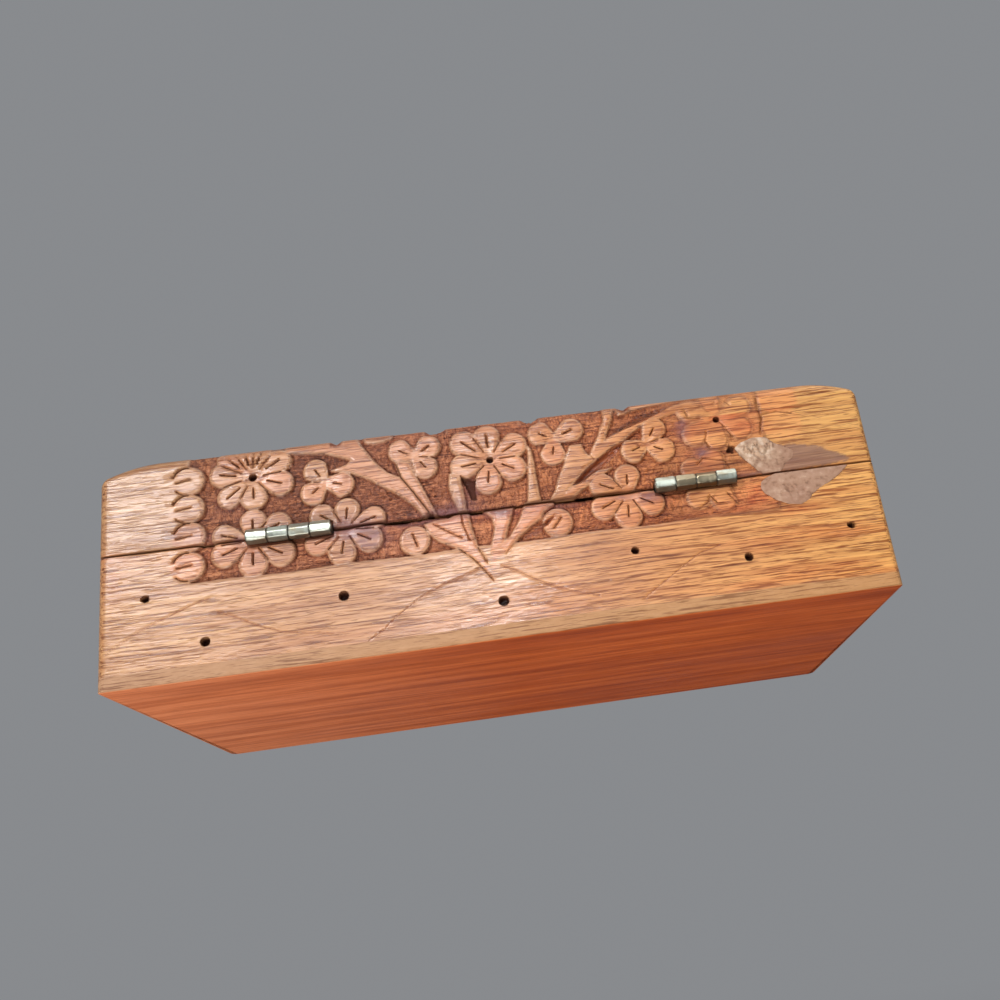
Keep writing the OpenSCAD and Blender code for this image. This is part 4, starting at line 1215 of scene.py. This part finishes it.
def wood(name, seed, turn=0, tint=1.0):
    """The carved wood. turn is how far the grain turns from X towards Y, in degrees."""
    look, w, where = painted_look(name)
    x, _, z = w.split(where)
    turned = w.node("ShaderNodeMapping", {"Vector": where, "Rotation": (0, 0, math.radians(turn))}).outputs[0]
    bands, streaks, pores = w.group(grain, Vector=turned, Seed=seed)
    blotch = w.noise(where, (22, 22, 40), 3, 0.5, seed + 2)

    # the plain wood, from the left end to the right
    colour = w.ramp(w.ranged(x, LEFT_END, RIGHT_END), (0.0, (0.5, 0.262, 0.118)), (0.4, (0.58, 0.305, 0.155)),
                    (0.72, (0.66, 0.308, 0.114)), (1.0, (0.75, 0.39, 0.126)))
    shade = w.maths("ADD", w.times(bands, 0.22), w.times(streaks, 0.3))
    colour = w.stain(colour, 1.0, w.ramp(shade, (0.0, (0.62, 0.47, 0.4)), (0.26, (1.02, 0.98, 0.93)),
                                         (0.52, (1.24, 1.3, 1.22))))
    dashes = w.ranged(w.noise(turned, (70, 1800, 1800), 3, 0.6, seed + 3), 0.54, 0.62)
    colour = w.stain(colour, w.times(dashes, w.ranged(x, 0.01, -0.07, 0.55, 1.0)), (0.48, 0.32, 0.24))
    rusty = w.ranged(w.noise(turned, (18, 160, 160), 3, 0.55, seed + 8), 0.5, 0.68)
    colour = w.stain(colour, w.times(rusty, w.ranged(x, 0.03, -0.05, 0.25, 0.7)), (0.92, 0.68, 0.6))
    colour = w.stain(colour, pores, (0.45, 0.32, 0.25))
    colour = w.stain(colour, 1.0, (tint, tint, tint))
    rosy = w.times(w.mask("band"), w.ranged(w.mask("tone"), 0.0, 1.0, 0.2, 1.0))
    colour = w.stain(colour, rosy, (1.12, 0.94, 0.97))
    colour = w.cover(colour, w.times(w.mask("red"), 0.9), w.stain(colour, 1.0, (0.82, 0.42, 0.32)))

    # the cleared ground, with the marks of the gouge in two directions
    ground, cut = w.mask("ground"), w.mask("cut")
    swap = w.ranged(w.noise(where, (110, 110, 150), 2, 0.5, seed + 7), 0.46, 0.54)
    gouges = w.node("ShaderNodeMix", {0: swap, 2: w.noise(where, (620, 620, 1700), 4, 0.62, seed + 5, 0.9),
                                      3: w.noise(where, (1500, 1500, 560), 4, 0.62, seed + 6, 0.9)}).outputs[0]
    marks = w.maths("ADD", w.times(gouges, 0.72), w.times(blotch, 0.28))
    cleared = w.stain(colour, 1.0, w.ramp(marks, (0.38, (0.28, 0.165, 0.14)), (0.47, (0.54, 0.38, 0.33)),
                                          (0.58, (0.98, 0.86, 0.82))))
    colour = w.cover(colour, w.times(ground, w.ranged(x, -0.036, -0.052, 1.0, 0.2)), cleared)
    # painted shade in the scooped hollows
    colour = w.stain(colour, w.mask("hollow"), (0.52, 0.31, 0.21))
    # painted shade at the foot of each motif's wall, stronger on the left
    colour = w.stain(colour, w.times(w.mask("foot"), w.ranged(x, -0.04, -0.055, 0.7, 0.4)), (0.5, 0.33, 0.28))

    # the old paste, the rims of the motifs with their painted highlight and shade, the red scribed lines, and painted
    # shade in the cuts and holes
    paste = w.cover((0.23, 0.098, 0.1), w.ranged(x, -0.058, -0.064), (0.26, 0.14, 0.097))
    paste = w.stain(paste, 1.0, w.ramp(streaks, (0.2, (0.7, 0.6, 0.6)), (0.8, (1.1, 1.1, 1.1))))
    colour = w.cover(colour, w.times(w.mask("mauve"), 0.85), paste)
    rim = w.mask("edge")
    # The rims are painted pale, part wear and part painted highlight; at the worn right end they are painted dark
    # instead, as painted shade along the outlines.
    colour = w.cover(colour, w.times(rim, w.ranged(x, -0.038, -0.048, 0.2, 0.0)), WORN_RIM_HIGHLIGHT)
    colour = w.stain(colour, w.times(rim, w.ranged(x, -0.044, -0.052, 0.0, 0.7)), (0.5, 0.34, 0.3))
    colour = w.cover(colour, w.ranged(w.mask("scribe"), 0.5, 1.0, 0.0, 0.75), DARK_RED)
    # painted shade in the cuts, holes, gouges, the seam and the hinge grooves
    colour = w.cover(colour, w.ranged(cut, 0.1, 0.9, 0.0, 0.93), CUT_SHADE)
    foot_colour, foot_mask = w.group(rubbing, Vector=where)
    colour = w.cover(colour, w.times(foot_mask, 0.38), foot_colour)

    # the varnish, rubbed off low on the left and gone from the worn right end
    relief = w.maths("SUBTRACT", w.times(streaks, 0.35), w.times(pores, 0.8))
    relief = w.maths("ADD", relief, w.times(w.times(gouges, ground), 4.0))
    bump = w.bump(relief, 0.55, 0.00022)
    gloss = w.ranged(w.maths("ADD", blotch, w.times(ground, 0.5)), 0.3, 1.0, 0.3, 0.58)
    rubbed_off = w.times(w.ranged(x, 0.025, 0.045), w.ranged(z, 0.042, 0.02, 0.0, 0.4))
    varnish = w.times(w.ranged(rubbed_off, 0.0, 1.0, 0.4, 0.0), w.ranged(x, -0.045, -0.025, 0.1, 1.0))
    varnish = w.times(varnish, w.ranged(w.maths("MAXIMUM", cut, ground), 0.1, 0.7, 1.0, 0.12))
    shine = w.ranged(cut, 0.2, 0.8, 0.28, 0.03)
    w.skin(colour, w.maths("ADD", gloss, w.times(cut, 0.5)), bump, Specular_IOR_Level=shine,
           Coat_Weight=varnish, Coat_Roughness=0.17, Coat_Normal=bump)
    return look


def repaint(node, look):
    """Gives a CAD piece a finish in every slot it has."""
    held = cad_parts[node].data.materials
    for i in range(len(held)):
        held[i] = look
    if not len(held):
        held.append(look)


base_look = wood("tan_wood_base", 0.0)
lid_look = wood("tan_wood_lid", 0.31, tint=0.88)
end_look = wood("tan_wood_ends", 0.67, turn=90)
for board in (base_back, base_front):
    board.data.materials.append(base_look)
for board in (lid_back, lid_front, lid_top):
    board.data.materials.append(lid_look)
for node in ("base_left_wall", "base_right_wall", "lid_left_rail", "lid_right_rail"):
    repaint(node, end_look)
print("wood looks:", base_look.name, lid_look.name, end_look.name)

# %% [markdown]
# ## The underside
#
# The bottom board is a smoother, redder piece with a quiet figure. Round its sides, where it shows as
# a strip under the back, it is rubbed pale and mottled like the foot of the walls.

# %% Bottom board
bottom_look, w, where = painted_look("red_wood_bottom")
x, _, z = w.split(where)
bands, streaks, pores = w.group(grain, Vector=where, Seed=0.9)
clouds = w.noise(where, (16, 34, 34), 4, 0.55, 2.2)
figure = w.maths("ADD", w.times(bands, 0.3), w.maths("ADD", w.times(streaks, 0.3), w.times(clouds, 0.4)))
red = w.ramp(figure, (0.2, (0.39, 0.06, 0.01)), (0.45, (0.54, 0.096, 0.016)), (0.7, (0.67, 0.145, 0.031)))
red = w.cover(red, w.ranged(x, 0.0, LEFT_END, 0.0, 0.85), (0.85, 0.27, 0.11))
red = w.stain(red, w.times(pores, 0.4), (0.5, 0.4, 0.35))
long_streaks = w.ranged(w.noise(where, (14, 260, 260), 4, 0.6, 6.6), 0.38, 0.66)
red = w.stain(red, 0.8, w.ramp(long_streaks, (0.0, (0.72, 0.62, 0.55)), (0.5, (1.0, 1.0, 1.0)),
                               (1.0, (1.18, 1.3, 1.4))))
inside_floor = w.ranged(z, 0.0031, 0.0033)
red = w.cover(red, inside_floor, (0.5, 0.27, 0.14))
side_wood = w.ramp(w.ranged(x, LEFT_END, RIGHT_END), (0.0, (0.5, 0.275, 0.15)), (1.0, (0.62, 0.3, 0.1)))
side_wood = w.cover(side_wood, 0.4, w.group(rubbing, Vector=where)["Colour"])
side_wood = w.stain(side_wood, w.times(pores, 0.8), (0.45, 0.36, 0.36))
red = w.cover(red, w.ranged(z, 0.00003, 0.0003), side_wood)
w.skin(red, w.ranged(clouds, 0.3, 0.7, 0.42, 0.58), w.bump(streaks, 0.3, 0.0001), Specular_IOR_Level=0.1)
repaint("bottom_board", bottom_look)
print("bottom look ready")

# %% [markdown]
# ## Filler and metal
#
# The filler is a dull paste with pale crumbs. The hinges are plated steel, worn yellow in places, with
# painted shade between the knuckles and under the barrels. One group makes the tarnish for all the metal.

# %% Filler material
filler_look, w, where = painted_look("filler_paste")
x, _, z = w.split(where)
crumbs = w.noise(where, (700, 700, 900), 4, 0.5, 2.0)
patches = w.noise(where, (160, 160, 240), 3, 0.5, 6.0)
paste = w.ramp(crumbs, (0.25, (0.23, 0.12, 0.072)), (0.42, (0.38, 0.21, 0.127)), (0.6, (0.42, 0.24, 0.15)),
               (0.78, (0.54, 0.35, 0.23)))
paste = w.stain(paste, w.ranged(patches, 0.42, 0.62, 0, 0.7), (0.84, 0.78, 0.76))
pale = w.ramp(crumbs, (0.3, (0.36, 0.22, 0.14)), (0.5, (0.55, 0.37, 0.24)), (0.68, (0.72, 0.56, 0.42)))
lump = w.times(w.ranged(z, 0.0312, 0.036), w.ranged(x, -0.069, -0.065))
paste = w.cover(paste, w.times(lump, 0.75), pale)
w.skin(paste, w.ranged(crumbs, 0.3, 0.7, 0.9, 0.6), w.bump(crumbs, 0.5, 0.00025))
for patch in (base_filler, lid_filler):
    patch.data.materials.append(filler_look)

# %% Metal materials
tarnish, g, given = new_group("tarnish", [("Tarnish", "NodeSocketFloat"), ("Scuffs", "NodeSocketFloat")])
g.node("NodeGroupOutput", {"Tarnish": g.ranged(g.noise(given["Vector"], (260, 420, 420), 5, 0.6, 1.0), 0.46, 0.66),
                           "Scuffs": g.ranged(g.noise(given["Vector"], (2600, 700, 700), 3, 0.6, 8.0), 0.4, 0.7)})
METAL_SHADE = (0.035, 0.022, 0.015)


def metal(name, plated, worn, rough_low, rough_high):
    """Plate that has worn through to another colour, rougher where it is scuffed."""
    look, m, where = painted_look(name)
    dirt, scuffs = m.group(tarnish, Vector=where)
    colour = m.cover(plated, m.times(dirt, 0.75), worn)
    colour = m.cover(colour, m.mask("brassy"), worn)
    # painted shade between the knuckles and under the barrel
    colour = m.cover(colour, m.ranged(m.mask("painted_shade"), 0.35, 0.95), METAL_SHADE)
    m.skin(colour, m.ranged(scuffs, 0, 1, rough_low, rough_high), m.bump(scuffs, 0.12, 0.0001),
           Metallic=m.ranged(dirt, 0, 1, 1.0, 0.85))
    return look


hinge_look = metal("worn_plate", (0.42, 0.46, 0.4), (0.25, 0.2, 0.12), 0.3, 0.46)
screw_look = metal("worn_screw", (0.6, 0.54, 0.4), (0.25, 0.17, 0.1), 0.3, 0.5)
for leaf in hinge_leaves:
    leaf.data.materials.clear()
    leaf.data.materials.append(hinge_look)
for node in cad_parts:
    if node.endswith("pin"):
        repaint(node, hinge_look)
    elif node.endswith("screws"):
        repaint(node, screw_look)
print("metal looks:", hinge_look.name, screw_look.name)
